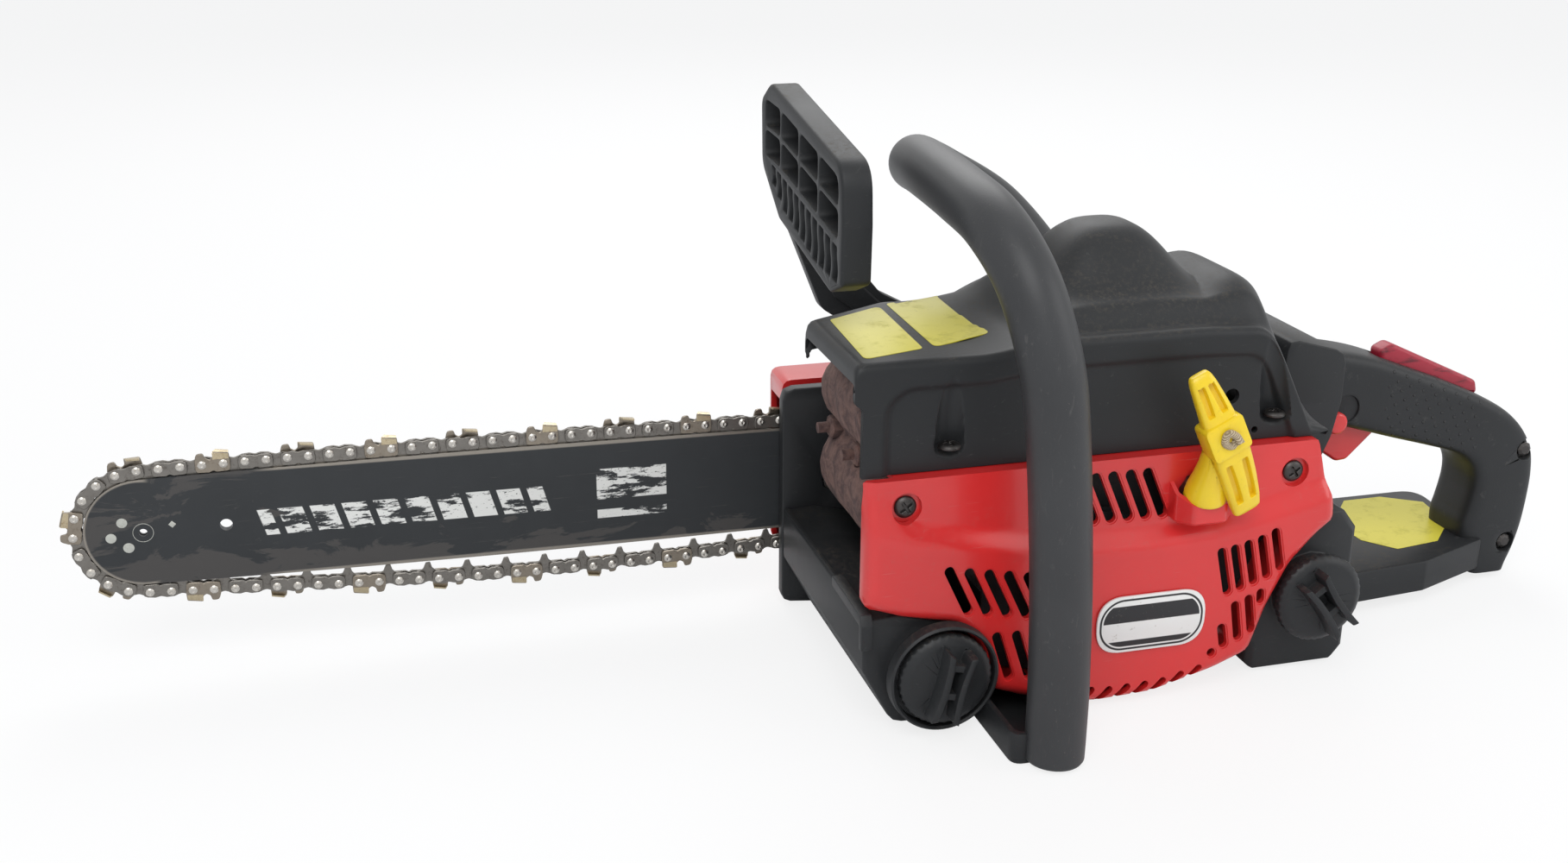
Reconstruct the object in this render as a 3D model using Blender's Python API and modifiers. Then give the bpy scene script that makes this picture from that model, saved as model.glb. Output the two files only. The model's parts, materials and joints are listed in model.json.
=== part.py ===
"""A petrol chainsaw with a 14-inch sprocket-nose bar, built as the separate pieces it comes apart into.

Sizes are in millimetres and MM turns them into Blender's metres. +X points to the rear handle, -X to the
bar's nose, -Y to the starter side and +Z up. The origin is on the flat underside of the chassis, and the
crankshaft turns about a line along Y.
"""

import math

import bmesh
import bpy
import numpy as np
from mathutils import Matrix, Vector

MM = 0.001
GAP = 0.3

# Chain and bar. The chain's pitch is 3/8 inch, so its rivets are half of twice that apart.
RIVET_PITCH = 9.525
LINK_PAIRS = 52
SPROCKET_TEETH = 6
NOSE_TEETH = 10
RIVET_ABOVE_BAR = 4.35
CHAIN_SAG = 3.6
CUTTER_PHASE = 3
BAR_Y = 62.0
BAR_HALF = 27.0
BAR_BOW = 0.9
BAR_RISE = math.radians(0.7)
BAR_TAIL = 33.0
BAR_SHOULDER = 100.0
RAIL = 2.1
GROOVE = 0.75
GROOVE_DEPTH = 6.5
STUDS = (58.0, 88.0)

# Engine
CRANK_X, CRANK_Z = 3.0, 67.0
CRANK_R = 6.5
CYLINDER_R = 33.5
FLYWHEEL_R = 42.0
DRUM_R = 37.0

# Casing
WALL = 3.0
SEAM_Z = 121.0
LEFT_Y = -84.0
BULGE_Y = -90.0
COVER_LEFT = -80.0
COVER_RIGHT = 36.0
FRONT_X = -110.5

# Handles
TUBE_R = 13.2
GRIP_LEFT, GRIP_RIGHT = -13.0, 21.0
TRIGGER_PIVOT = (152.0, 102.0)
LOCKOUT_PIVOT = (188.0, 122.0)
GUARD_PIVOT = (-44.0, 140.0)
CHOKE_HOLE = (62.0, 143.0)
STOP_BUTTON = (156.0, 102.0)

# Caps
OIL_CAP = (-76.0, 29.0)
FUEL_CAP = (112.5, 42.0)
CAP_R = 21.5
NECK_R = 15.0

# Starter
ROPE_EXIT = Vector((44.0, -88.0, 103.0))
PULL_WAY = Vector((0.28, -0.5, 0.82)).normalized()
ROPE_R = 1.75
PULLEY_R = 22.0

PARTS = "chainsaw"
CUTTERS = "chainsaw_cutters"


# ---------------------------------------------------------------- scene and materials


def clear_scene():
    for obj in list(bpy.data.objects):
        bpy.data.objects.remove(obj)


def collection(name):
    found = bpy.data.collections.get(name)
    if found is None:
        found = bpy.data.collections.new(name)
        bpy.context.scene.collection.children.link(found)
    return found


FINISHES = {
    "black_plastic": ((0.032, 0.034, 0.038), 0.48, 0.0),
    "red_plastic": ((0.52, 0.022, 0.024), 0.32, 0.0),
    "yellow_plastic": ((0.88, 0.70, 0.03), 0.38, 0.0),
    "rubber": ((0.045, 0.047, 0.050), 0.62, 0.0),
    "bar_paint": ((0.045, 0.045, 0.048), 0.45, 0.6),
    "chain_steel": ((0.30, 0.27, 0.23), 0.38, 1.0),
    "bright_steel": ((0.62, 0.61, 0.59), 0.30, 1.0),
    "dark_steel": ((0.10, 0.095, 0.09), 0.45, 0.9),
    "cast_metal": ((0.55, 0.56, 0.57), 0.50, 1.0),
    "rusty_steel": ((0.17, 0.095, 0.07), 0.82, 0.35),
    "rope": ((0.55, 0.47, 0.34), 0.90, 0.0),
    "filter": ((0.42, 0.40, 0.34), 0.95, 0.0),
    "ceramic": ((0.85, 0.84, 0.80), 0.25, 0.0),
    "badge": ((0.74, 0.74, 0.72), 0.28, 0.6),
}


def material(finish):
    found = bpy.data.materials.get(finish)
    if found is None:
        colour, roughness, metallic = FINISHES[finish]
        found = bpy.data.materials.new(finish)
        found.use_nodes = True
        shader = found.node_tree.nodes["Principled BSDF"]
        shader.inputs["Base Color"].default_value = (*colour, 1.0)
        shader.inputs["Roughness"].default_value = roughness
        shader.inputs["Metallic"].default_value = metallic
    return found


def own_material(obj, finish):
    """Each piece has a material of its own, a copy of its finish."""
    own = material(finish).copy()
    own.name = obj.name
    obj.data.materials.clear()
    obj.data.materials.append(own)


# ---------------------------------------------------------------- shapes


def add(name, mesh, finish=None, smooth=False):
    """A new object in the parts collection, or in the cutters' when it has no finish."""
    obj = bpy.data.objects.new(name, mesh)
    if finish:
        collection(PARTS).objects.link(obj)
        own_material(obj, finish)
    else:
        as_cutter(obj)
    if smooth:
        mesh.shade_smooth()
        mesh.set_sharp_from_angle(angle=math.radians(35))
    return obj


def as_cutter(obj):
    for holder in list(obj.users_collection):
        holder.objects.unlink(obj)
    collection(CUTTERS).objects.link(obj)
    obj.hide_render = True
    obj.display_type = "WIRE"


def mesh_of(name, bm):
    mesh = bpy.data.meshes.new(name)
    bmesh.ops.recalc_face_normals(bm, faces=bm.faces)
    bm.to_mesh(mesh)
    bm.free()
    return mesh


def block(name, low, high, finish=None, bevel=0.0):
    """A box between two corners, with its edges rounded by a Bevel modifier."""
    low, high = Vector(low), Vector(high)
    bm = bmesh.new()
    bmesh.ops.create_cube(bm, size=1.0)
    bmesh.ops.scale(bm, vec=(high - low) * MM, verts=bm.verts)
    obj = add(name, mesh_of(name, bm), finish)
    obj.location = (low + high) / 2 * MM
    if bevel:
        add_bevel(obj, bevel)
    return obj


def add_bevel(obj, width, segments=1, angle=40.0):
    bevel = obj.modifiers.new("edges", "BEVEL")
    bevel.width = width * MM
    bevel.segments = segments
    bevel.limit_method = "ANGLE"
    bevel.angle_limit = math.radians(angle)
    bevel.harden_normals = False
    return obj


def turned(name, profile, place, axis, finish=None, sides=24):
    """A body of revolution: (radius, distance along the axis) pairs, listed from the far end back."""
    bm = bmesh.new()
    verts = [bm.verts.new((radius * MM, 0.0, along * MM)) for radius, along in profile]
    for first, second in zip(verts, verts[1:]):
        bm.edges.new((first, second))
    mesh = bpy.data.meshes.new(name)
    bm.to_mesh(mesh)
    bm.free()
    obj = add(name, mesh, finish, smooth=True)
    screw = obj.modifiers.new("turn", "SCREW")
    screw.steps = screw.render_steps = sides
    screw.use_merge_vertices = True
    screw.merge_threshold = 0.00001
    screw.use_smooth_shade = True
    obj.location = Vector(place) * MM
    obj.rotation_mode = "QUATERNION"
    obj.rotation_quaternion = Vector(axis).to_track_quat("Z", "Y")
    return obj


def rod(name, start, end, radius, finish=None, sides=16):
    start, end = Vector(start), Vector(end)
    length = (end - start).length
    profile = [(0.0, length), (radius, length), (radius, 0.0), (0.0, 0.0)]
    return turned(name, profile, start, end - start, finish, sides)


def pipe(name, start, end, outer, inner, finish=None, sides=24):
    start, end = Vector(start), Vector(end)
    length = (end - start).length
    profile = [(inner, 0.0), (inner, length), (outer, length), (outer, 0.0), (inner, 0.0)]
    return turned(name, profile, start, end - start, finish, sides)


def to_mesh(obj):
    """Replaces a curve object by a mesh object of the same name and place, with its caps welded on."""
    graph = bpy.context.evaluated_depsgraph_get()
    mesh = bpy.data.meshes.new_from_object(obj.evaluated_get(graph))
    bm = bmesh.new()
    bm.from_mesh(mesh)
    bmesh.ops.remove_doubles(bm, verts=bm.verts, dist=0.000005)
    bmesh.ops.recalc_face_normals(bm, faces=bm.faces)
    bm.to_mesh(mesh)
    bm.free()
    name, matrix = obj.name, obj.matrix_world.copy()
    bpy.data.objects.remove(obj)
    made = bpy.data.objects.new(name, mesh)
    made.matrix_world = matrix
    return made


def plate(name, outline, low, high, finish=None, bevel=0.0, plane="XZ", holes=()):
    """A flat outline of (x, z) points, or (x, y) ones, given thickness from low to high."""
    curve = bpy.data.curves.new(name, "CURVE")
    curve.dimensions = "2D"
    curve.fill_mode = "BOTH"
    curve.extrude = (high - low) / 2 * MM
    for loop in (outline, *holes):
        spline = curve.splines.new("POLY")
        spline.points.add(len(loop) - 1)
        for point, (a, b) in zip(spline.points, loop):
            point.co = (a * MM, b * MM, 0.0, 1.0)
        spline.use_cyclic_u = True
    obj = bpy.data.objects.new(name, curve)
    bpy.context.scene.collection.objects.link(obj)
    middle = (low + high) / 2 * MM
    if plane == "XZ":
        obj.rotation_euler = (math.pi / 2, 0.0, 0.0)
        obj.location = (0.0, middle, 0.0)
    elif plane == "YZ":
        obj.matrix_world = Matrix(((0, 0, 1, middle), (1, 0, 0, 0), (0, 1, 0, 0), (0, 0, 0, 1)))
    else:
        obj.location = (0.0, 0.0, middle)
    bpy.context.view_layer.update()
    obj = to_mesh(obj)
    if finish:
        collection(PARTS).objects.link(obj)
        own_material(obj, finish)
    else:
        as_cutter(obj)
    if bevel:
        add_bevel(obj, bevel)
    return obj


def tube(name, points, radius, finish=None, resolution=4, smoothness=3):
    """A round bar along a smooth curve through the points."""
    curve = bpy.data.curves.new(name, "CURVE")
    curve.dimensions = "3D"
    curve.bevel_depth = radius * MM
    curve.bevel_resolution = resolution
    curve.resolution_u = smoothness
    curve.use_fill_caps = True
    spline = curve.splines.new("BEZIER")
    spline.bezier_points.add(len(points) - 1)
    for knot, point in zip(spline.bezier_points, points):
        knot.co = Vector(point) * MM
        knot.handle_left_type = knot.handle_right_type = "AUTO"
    obj = bpy.data.objects.new(name, curve)
    bpy.context.scene.collection.objects.link(obj)
    bpy.context.view_layer.update()
    obj = to_mesh(obj)
    obj.data.shade_smooth()
    if finish:
        collection(PARTS).objects.link(obj)
        own_material(obj, finish)
    else:
        as_cutter(obj)
    return obj


def skin(name, rings, finish=None):
    """A solid whose surface runs through rings of equal count, with the first and last ring filled in."""
    rings = np.asarray(rings, float) * MM
    count, around, _ = rings.shape
    index = np.arange(count * around).reshape(count, around)
    beside = np.roll(index, -1, axis=1)
    quads = np.stack([index[:-1], beside[:-1], beside[1:], index[1:]], axis=-1).reshape(-1, 4)
    faces = [*quads.tolist(), index[0, ::-1].tolist(), index[-1].tolist()]
    mesh = bpy.data.meshes.new(name)
    mesh.from_pydata(rings.reshape(-1, 3).tolist(), [], faces)
    bm = bmesh.new()
    bm.from_mesh(mesh)
    bpy.data.meshes.remove(mesh)
    return add(name, mesh_of(name, bm), finish, smooth=True)


def sheet(name, rings, finish=None):
    """An open surface through rings of equal count, its faces outwards when each ring runs left to right."""
    rings = np.asarray(rings, float) * MM
    count, across, _ = rings.shape
    index = np.arange(count * across).reshape(count, across)
    quads = np.stack([index[:-1, :-1], index[1:, :-1], index[1:, 1:], index[:-1, 1:]], axis=-1).reshape(-1, 4)
    mesh = bpy.data.meshes.new(name)
    mesh.from_pydata(rings.reshape(-1, 3).tolist(), [], quads.tolist())
    return add(name, mesh, finish, smooth=True)


def pillow(name, corners, low, high, rounding, finish=None, count=3):
    """A plate whose two faces roll over into its edge: the outline is lofted across, drawn in at each side."""
    turns = np.radians([0.0, 45.0, 90.0])
    steps = [(low + rounding * (1 - math.cos(a)), rounding * (1 - math.sin(a))) for a in turns]
    steps += [(high - (y - low), drawn) for y, drawn in reversed(steps)]
    loops = [[(x, y, z) for x, z in rounded(inset(corners, drawn), count)] for y, drawn in steps]
    return skin(name, loops, finish)


def combine(obj, other, operation):
    """A live Boolean between two objects. The second one goes to the cutters' collection."""
    as_cutter(other)
    step = obj.modifiers.new(f"{operation.lower()}_{other.name}", "BOOLEAN")
    step.operation = operation
    step.object = other
    return obj


def cut(obj, *cutters):
    for cutter in cutters:
        combine(obj, cutter, "DIFFERENCE")
    return obj


def join(obj, *others):
    for other in others:
        combine(obj, other, "UNION")
    return obj


def hold_on(axis_name, place, *pieces):
    """Parents a moving body's pieces to an empty on its joint's axis."""
    empty = bpy.data.objects.new(axis_name, None)
    empty.empty_display_size = 0.02
    empty.location = Vector(place) * MM
    collection(PARTS).objects.link(empty)
    bpy.context.view_layer.update()
    for piece in pieces:
        piece.parent = empty
        piece.matrix_parent_inverse = empty.matrix_world.inverted()


# ---------------------------------------------------------------- outlines


def arc(centre, radius, start, end, count):
    """Points along an arc, from one angle to another in degrees."""
    angles = np.radians(np.linspace(start, end, count))
    return [(centre[0] + radius * math.cos(a), centre[1] + radius * math.sin(a)) for a in angles]


def circle(centre, radius, count=24):
    return arc(centre, radius, 0.0, 360.0 * (1 - 1 / count), count)


def rounded(corners, count=4):
    """An outline from (x, z, radius) corners: a corner with a radius becomes a short arc."""
    points = []
    for i, (x, z, radius) in enumerate(corners):
        here = Vector((x, z))
        before = Vector(corners[i - 1][:2]) - here
        after = Vector(corners[(i + 1) % len(corners)][:2]) - here
        if radius <= 0:
            points.append((x, z))
            continue
        half = before.angle(after) / 2
        reach = min(radius / math.tan(half), 0.49 * before.length, 0.49 * after.length)
        start, end = here + before.normalized() * reach, here + after.normalized() * reach
        for t in np.linspace(0.0, 1.0, count):
            mix = start * (1 - t) ** 2 + here * 2 * t * (1 - t) + end * t**2
            points.append((mix.x, mix.y))
    return points


def slot(centre, length, width, angle, count=4):
    """A slot whose ends are arcs of count points, its length turned by angle degrees from +X."""
    half = length / 2 - width / 2
    way = (math.cos(math.radians(angle)), math.sin(math.radians(angle)))
    head = (centre[0] + half * way[0], centre[1] + half * way[1])
    tail = (centre[0] - half * way[0], centre[1] - half * way[1])
    return arc(head, width / 2, angle - 90, angle + 90, count) + arc(
        tail, width / 2, angle + 90, angle + 270, count
    )


# ---------------------------------------------------------------- bar and chain


def bar_point(along, across):
    """From bar coordinates, along it from the crank and across it upwards, to (x, z)."""
    x = CRANK_X - along * math.cos(BAR_RISE) + across * math.sin(BAR_RISE)
    z = CRANK_Z + along * math.sin(BAR_RISE) + across * math.cos(BAR_RISE)
    return x, z


def nose_rivet_radius():
    return RIVET_PITCH / 2 / math.sin(math.pi / (2 * NOSE_TEETH))


def sprocket_rivet_radius():
    return RIVET_PITCH / 2 / math.sin(math.pi / (2 * SPROCKET_TEETH))


def bar_edge(nose, inset=0.0, steps=9):
    """The bar's upper edge from its tail to its nose, as (along, half width)."""
    nose_radius = nose_rivet_radius() - RIVET_ABOVE_BAR
    along = np.linspace(BAR_SHOULDER, nose, steps)
    share = (along - BAR_SHOULDER) / (nose - BAR_SHOULDER)
    half = BAR_HALF + (nose_radius - BAR_HALF) * share**3 + BAR_BOW * np.sin(np.pi * share)
    edge = [(BAR_TAIL + 4.0 + inset / 2, BAR_HALF - 13.0), (BAR_TAIL + 30.0, BAR_HALF - 6.0)]
    edge += [(a, h) for a, h in zip(along[:-1], half[:-1])]
    edge += [(nose + x, z) for x, z in arc((0, 0), nose_radius, 90.0, 0.0, 9)]
    return [(a - (inset if a > nose else 0.0), h - inset) for a, h in edge]


def both_edges(upper):
    """Closes an upper edge with its mirror image below."""
    lower = [(a, -h) for a, h in reversed(upper) if h > 0.01]
    return [point for point in upper if point[1] > -0.01] + lower


def hull(points):
    """The convex outline of points, anticlockwise."""
    points = sorted(set((round(a, 6), round(b, 6)) for a, b in points))

    def chain(ordered):
        kept = []
        for p in ordered:
            while len(kept) > 1 and (
                (kept[-1][0] - kept[-2][0]) * (p[1] - kept[-2][1])
                <= (kept[-1][1] - kept[-2][1]) * (p[0] - kept[-2][0])
            ):
                kept.pop()
            kept.append(p)
        return kept[:-1]

    return chain(points) + chain(points[::-1])


def chain_path(nose):
    """The rivets' path as dense points: a taut band round the sprocket and the bar, with a slack lower run."""
    edge = bar_edge(nose, -RIVET_ABOVE_BAR, 41)
    bar = [p for p in edge if BAR_SHOULDER - 1 < p[0] <= nose]
    bar += arc((nose, 0.0), nose_rivet_radius(), -90.0, 90.0, 361)
    bar += [(a, -h) for a, h in edge if BAR_SHOULDER - 1 < a <= nose]
    band = np.array(hull(bar + arc((0.0, 0.0), sprocket_rivet_radius(), 0.0, 359.5, 720)))
    band = np.vstack([band, band[:1]])
    lengths = np.concatenate([[0.0], np.cumsum(np.hypot(*np.diff(band, axis=0).T))])
    even = np.arange(0.0, lengths[-1], 0.25)
    path = np.stack([np.interp(even, lengths, band[:, 0]), np.interp(even, lengths, band[:, 1])], axis=1)
    below = (path[:, 1] < -sprocket_rivet_radius() + 0.5) & (path[:, 0] > 0) & (path[:, 0] < nose)
    share = np.clip(path[:, 0] / nose, 0.0, 1.0)
    path[:, 1] -= np.where(below, CHAIN_SAG * np.sin(np.pi * share) ** 2, 0.0)
    return path


def walk(path, start, count):
    """Points a rivet pitch apart along a closed path, and how far the last step misses the first point."""
    loop = np.vstack([path, path, path[:1]])
    here, at, rivets = loop[start], start, [loop[start]]
    for _ in range(count):
        ahead = loop[at : at + 120]
        far = np.hypot(*(ahead - here).T)
        step = int(np.argmax(far > RIVET_PITCH))
        part = (RIVET_PITCH - far[step - 1]) / (far[step] - far[step - 1])
        here = ahead[step - 1] + part * (ahead[step] - ahead[step - 1])
        at += step - 1
        rivets.append(here)
    missing = (rivets[-1] - rivets[0]) @ (loop[start + 4] - loop[start]) / np.hypot(*(loop[start + 4] - loop[start]))
    return np.array(rivets[:-1]), missing


def fit_chain():
    """The bar's reach from the crank at which the chain closes, as the tensioner sets it, and the rivets."""
    low, high = 405.0, 428.0
    for _ in range(28):
        nose = (low + high) / 2
        path = chain_path(nose)
        start = int(np.argmin(np.hypot(*(path - (nose, nose_rivet_radius())).T)))
        rivets, missing = walk(path, start, 2 * LINK_PAIRS)
        low, high = (nose, high) if missing > 0 else (low, nose)
    return nose, rivets


def link_outline(shape, first, second):
    """Places a link's outline, drawn from its first rivet with the bar below it, between two rivets."""
    along = (second - first) / np.hypot(*(second - first))
    outward = np.array([along[1], -along[0]])
    return [bar_point(*(first + along * a + outward * b)) for a, b in shape]


TANG_DEPTH = 8.0
DRIVE_HALF = 0.6
STRAP_HALF = 1.95
TOP_PLATE_REACH = 3.1
DRIVE_LINK = [(-2.1, 1.0), (RIVET_PITCH + 2.1, 1.0), (6.4, -TANG_DEPTH), (3.9, -TANG_DEPTH)]
TIE_STRAPS = [(-2.0, -3.2), (-1.7, 2.5), (RIVET_PITCH + 1.7, 2.5), (RIVET_PITCH + 2.0, -3.2)]
CUTTER = [(-1.5, 1.6), (-1.8, 5.3), (0.6, 5.3), (3.4, 3.2), (5.2, 6.4), (RIVET_PITCH + 2.2, 5.5), (RIVET_PITCH + 0.9, 1.6)]
TOP_PLATE = [(5.4, 4.9), (5.0, 6.9), (RIVET_PITCH + 2.6, 6.0), (RIVET_PITCH + 1.8, 4.4)]


def saw_chain(rivets):
    """Drive links run on the bar's middle plane. Between them come pairs of straps, some with a cutter on one side."""
    count = len(rivets)
    drive, straps, cutters, tops = [], [], [], []
    for i in range(count):
        ends = rivets[i], rivets[(i + 1) % count]
        if i % 2 == 0:
            drive.append(plate(f"drive_{i}", link_outline(DRIVE_LINK, *ends), BAR_Y - DRIVE_HALF, BAR_Y + DRIVE_HALF))
            continue
        straps.append(plate(f"straps_{i}", link_outline(TIE_STRAPS, *ends), BAR_Y - STRAP_HALF, BAR_Y + STRAP_HALF))
        side = {0: -1, 2: 1}.get(((i - 1) // 2 + CUTTER_PHASE) % 4)
        if side is None:
            continue
        low, high = sorted((BAR_Y + side * 1.0, BAR_Y + side * (STRAP_HALF + 0.2)))
        cutters.append(plate(f"cutter_{i}", link_outline(CUTTER, *ends), low, high))
        low, high = sorted((BAR_Y - side * 0.4, BAR_Y + side * TOP_PLATE_REACH))
        tops.append(plate(f"top_{i}", link_outline(TOP_PLATE, *ends), low, high))
    chain = merged("saw_chain", drive, "chain_steel")
    join(chain, merged("chain_straps", straps), merged("chain_cutters", cutters), merged("chain_tops", tops))
    return chain


def merged(name, objects, finish=None):
    """One mesh object from several that don't touch."""
    bm = bmesh.new()
    for obj in objects:
        mesh = obj.data
        mesh.transform(obj.matrix_world)
        bm.from_mesh(mesh)
        bpy.data.objects.remove(obj)
    return add(name, mesh_of(name, bm), finish)


def star(centre, teeth, tip, tip_half, root, root_half, turn):
    """A sprocket's outline: flat tooth tips and flat valleys, with angles in degrees."""
    points = []
    for tooth in range(teeth):
        middle = turn + 360.0 * tooth / teeth
        points += arc(centre, tip, middle - tip_half, middle + tip_half, 2)
        valley = middle + 180.0 / teeth
        points += arc(centre, root, valley - root_half, valley + root_half, 2)
    return [bar_point(a, b) for a, b in points]


def strap_angle(rivets, centre):
    """The angle of the strap that sits most squarely on a sprocket, seen from its centre."""
    middles = np.array([(rivets[i] + rivets[(i + 1) % len(rivets)]) / 2 for i in range(1, len(rivets), 2)])
    nearest = middles[np.argmin(np.hypot(*(middles - centre).T))]
    return math.degrees(math.atan2(*(nearest - centre)[::-1]))


def bar_and_chain():
    nose, rivets = fit_chain()
    rails = [
        plate(name, [bar_point(*p) for p in both_edges(bar_edge(nose))], BAR_Y + low, BAR_Y + high)
        for name, low, high in (("rail_near", -RAIL, -GROOVE + 0.02), ("rail_far", GROOVE - 0.02, RAIL))
    ]
    core = [p for p in both_edges(bar_edge(nose, GROOVE_DEPTH)) if p[0] < nose - 30.0]
    bar = plate("guide_bar", [bar_point(*p) for p in core], BAR_Y - GROOVE, BAR_Y + GROOVE, "bar_paint")
    centre = bar_point(nose, 0.0)
    hub = rod("nose_hub", (centre[0], BAR_Y - 1.0, centre[1]), (centre[0], BAR_Y + 1.0, centre[1]), 7.5)
    join(bar, *rails, hub)
    middle = sum(STUDS) / 2
    stud_slot = slot((middle, 0.0), STUDS[1] - STUDS[0] + 22.0, 9.0, 0.0)
    cut(bar, plate("bar_slot", [bar_point(*p) for p in stud_slot], BAR_Y - 5.0, BAR_Y + 5.0))
    for across in (-12.0, 12.0):
        x, z = bar_point(73.0, across)
        cut(bar, rod(f"bar_hole_{across:.0f}", (x, BAR_Y - 5.0, z), (x, BAR_Y + 5.0, z), 3.2, sides=10))

    saw_chain(rivets)

    turn = strap_angle(rivets, (nose, 0.0))
    teeth = star((nose, 0.0), NOSE_TEETH, 25.3, 4.0, 20.4, 6.5, turn)
    bore = [bar_point(*p) for p in circle((nose, 0.0), 8.0, 16)]
    plate("nose_sprocket", teeth, BAR_Y - 0.55, BAR_Y + 0.55, "dark_steel", holes=(bore,))
    return rivets


def clutch(rivets):
    """The drum is a cup that opens away from the bar. Its six-tooth spur sprocket faces the chassis."""
    face = BAR_Y + 4.4
    cup = [
        (CRANK_R + 0.5, 0.0), (CRANK_R + 0.5, 2.4), (DRUM_R - 2.0, 2.4), (DRUM_R - 2.0, 17.0),
        (DRUM_R, 17.0), (DRUM_R, 0.0), (CRANK_R + 0.5, 0.0),
    ]
    drum = turned("clutch_drum", cup, (CRANK_X, face, CRANK_Z), (0, 1, 0), "dark_steel", 24)
    teeth = star((0.0, 0.0), SPROCKET_TEETH, 13.9, 8.0, 9.1, 12.0, strap_angle(rivets, (0.0, 0.0)))
    bore = circle((CRANK_X, CRANK_Z), CRANK_R + 0.5, 24)
    join(drum, plate("spur_teeth", teeth, BAR_Y - 2.3, face + 1.0, holes=(bore,)))

    hub_y = face + 4.0
    hub = turned(
        "clutch_hub",
        [(CRANK_R + 0.2, 0.0), (CRANK_R + 0.2, 12.0), (15.0, 12.0), (15.0, 0.0), (CRANK_R + 0.2, 0.0)],
        (CRANK_X, hub_y, CRANK_Z), (0, 1, 0), "cast_metal", 24,
    )
    for arm in range(3):
        middle = 120.0 * arm + 30.0
        shoe = arc((CRANK_X, CRANK_Z), DRUM_R - 3.0, middle - 46.0, middle + 46.0, 6)
        shoe += arc((CRANK_X, CRANK_Z), 20.0, middle + 40.0, middle - 40.0, 3)
        spoke = arc((CRANK_X, CRANK_Z), 12.0, middle - 24.0, middle + 24.0, 2)
        spoke += arc((CRANK_X, CRANK_Z), 23.0, middle + 12.0, middle - 12.0, 2)
        join(hub, plate(f"shoe_{arm}", shoe, hub_y + 0.8, hub_y + 10.5))
        join(hub, plate(f"spoke_{arm}", spoke, hub_y + 2.0, hub_y + 9.0))

    band = arc((CRANK_X, CRANK_Z), DRUM_R + 2.2, -62.0, 198.0, 16)
    band += arc((CRANK_X, CRANK_Z), DRUM_R + 1.0, 198.0, -62.0, 16)
    strap = plate("brake_band", band, face + 4.0, face + 14.0, "bright_steel")
    for angle in (-62.0, 198.0):
        x, z = arc((CRANK_X, CRANK_Z), DRUM_R + 4.6, angle, angle, 1)[0]
        join(strap, rod(f"band_eye_{angle:.0f}", (x, face + 4.0, z), (x, face + 14.0, z), 3.2, sides=10))


# ---------------------------------------------------------------- engine


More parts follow.
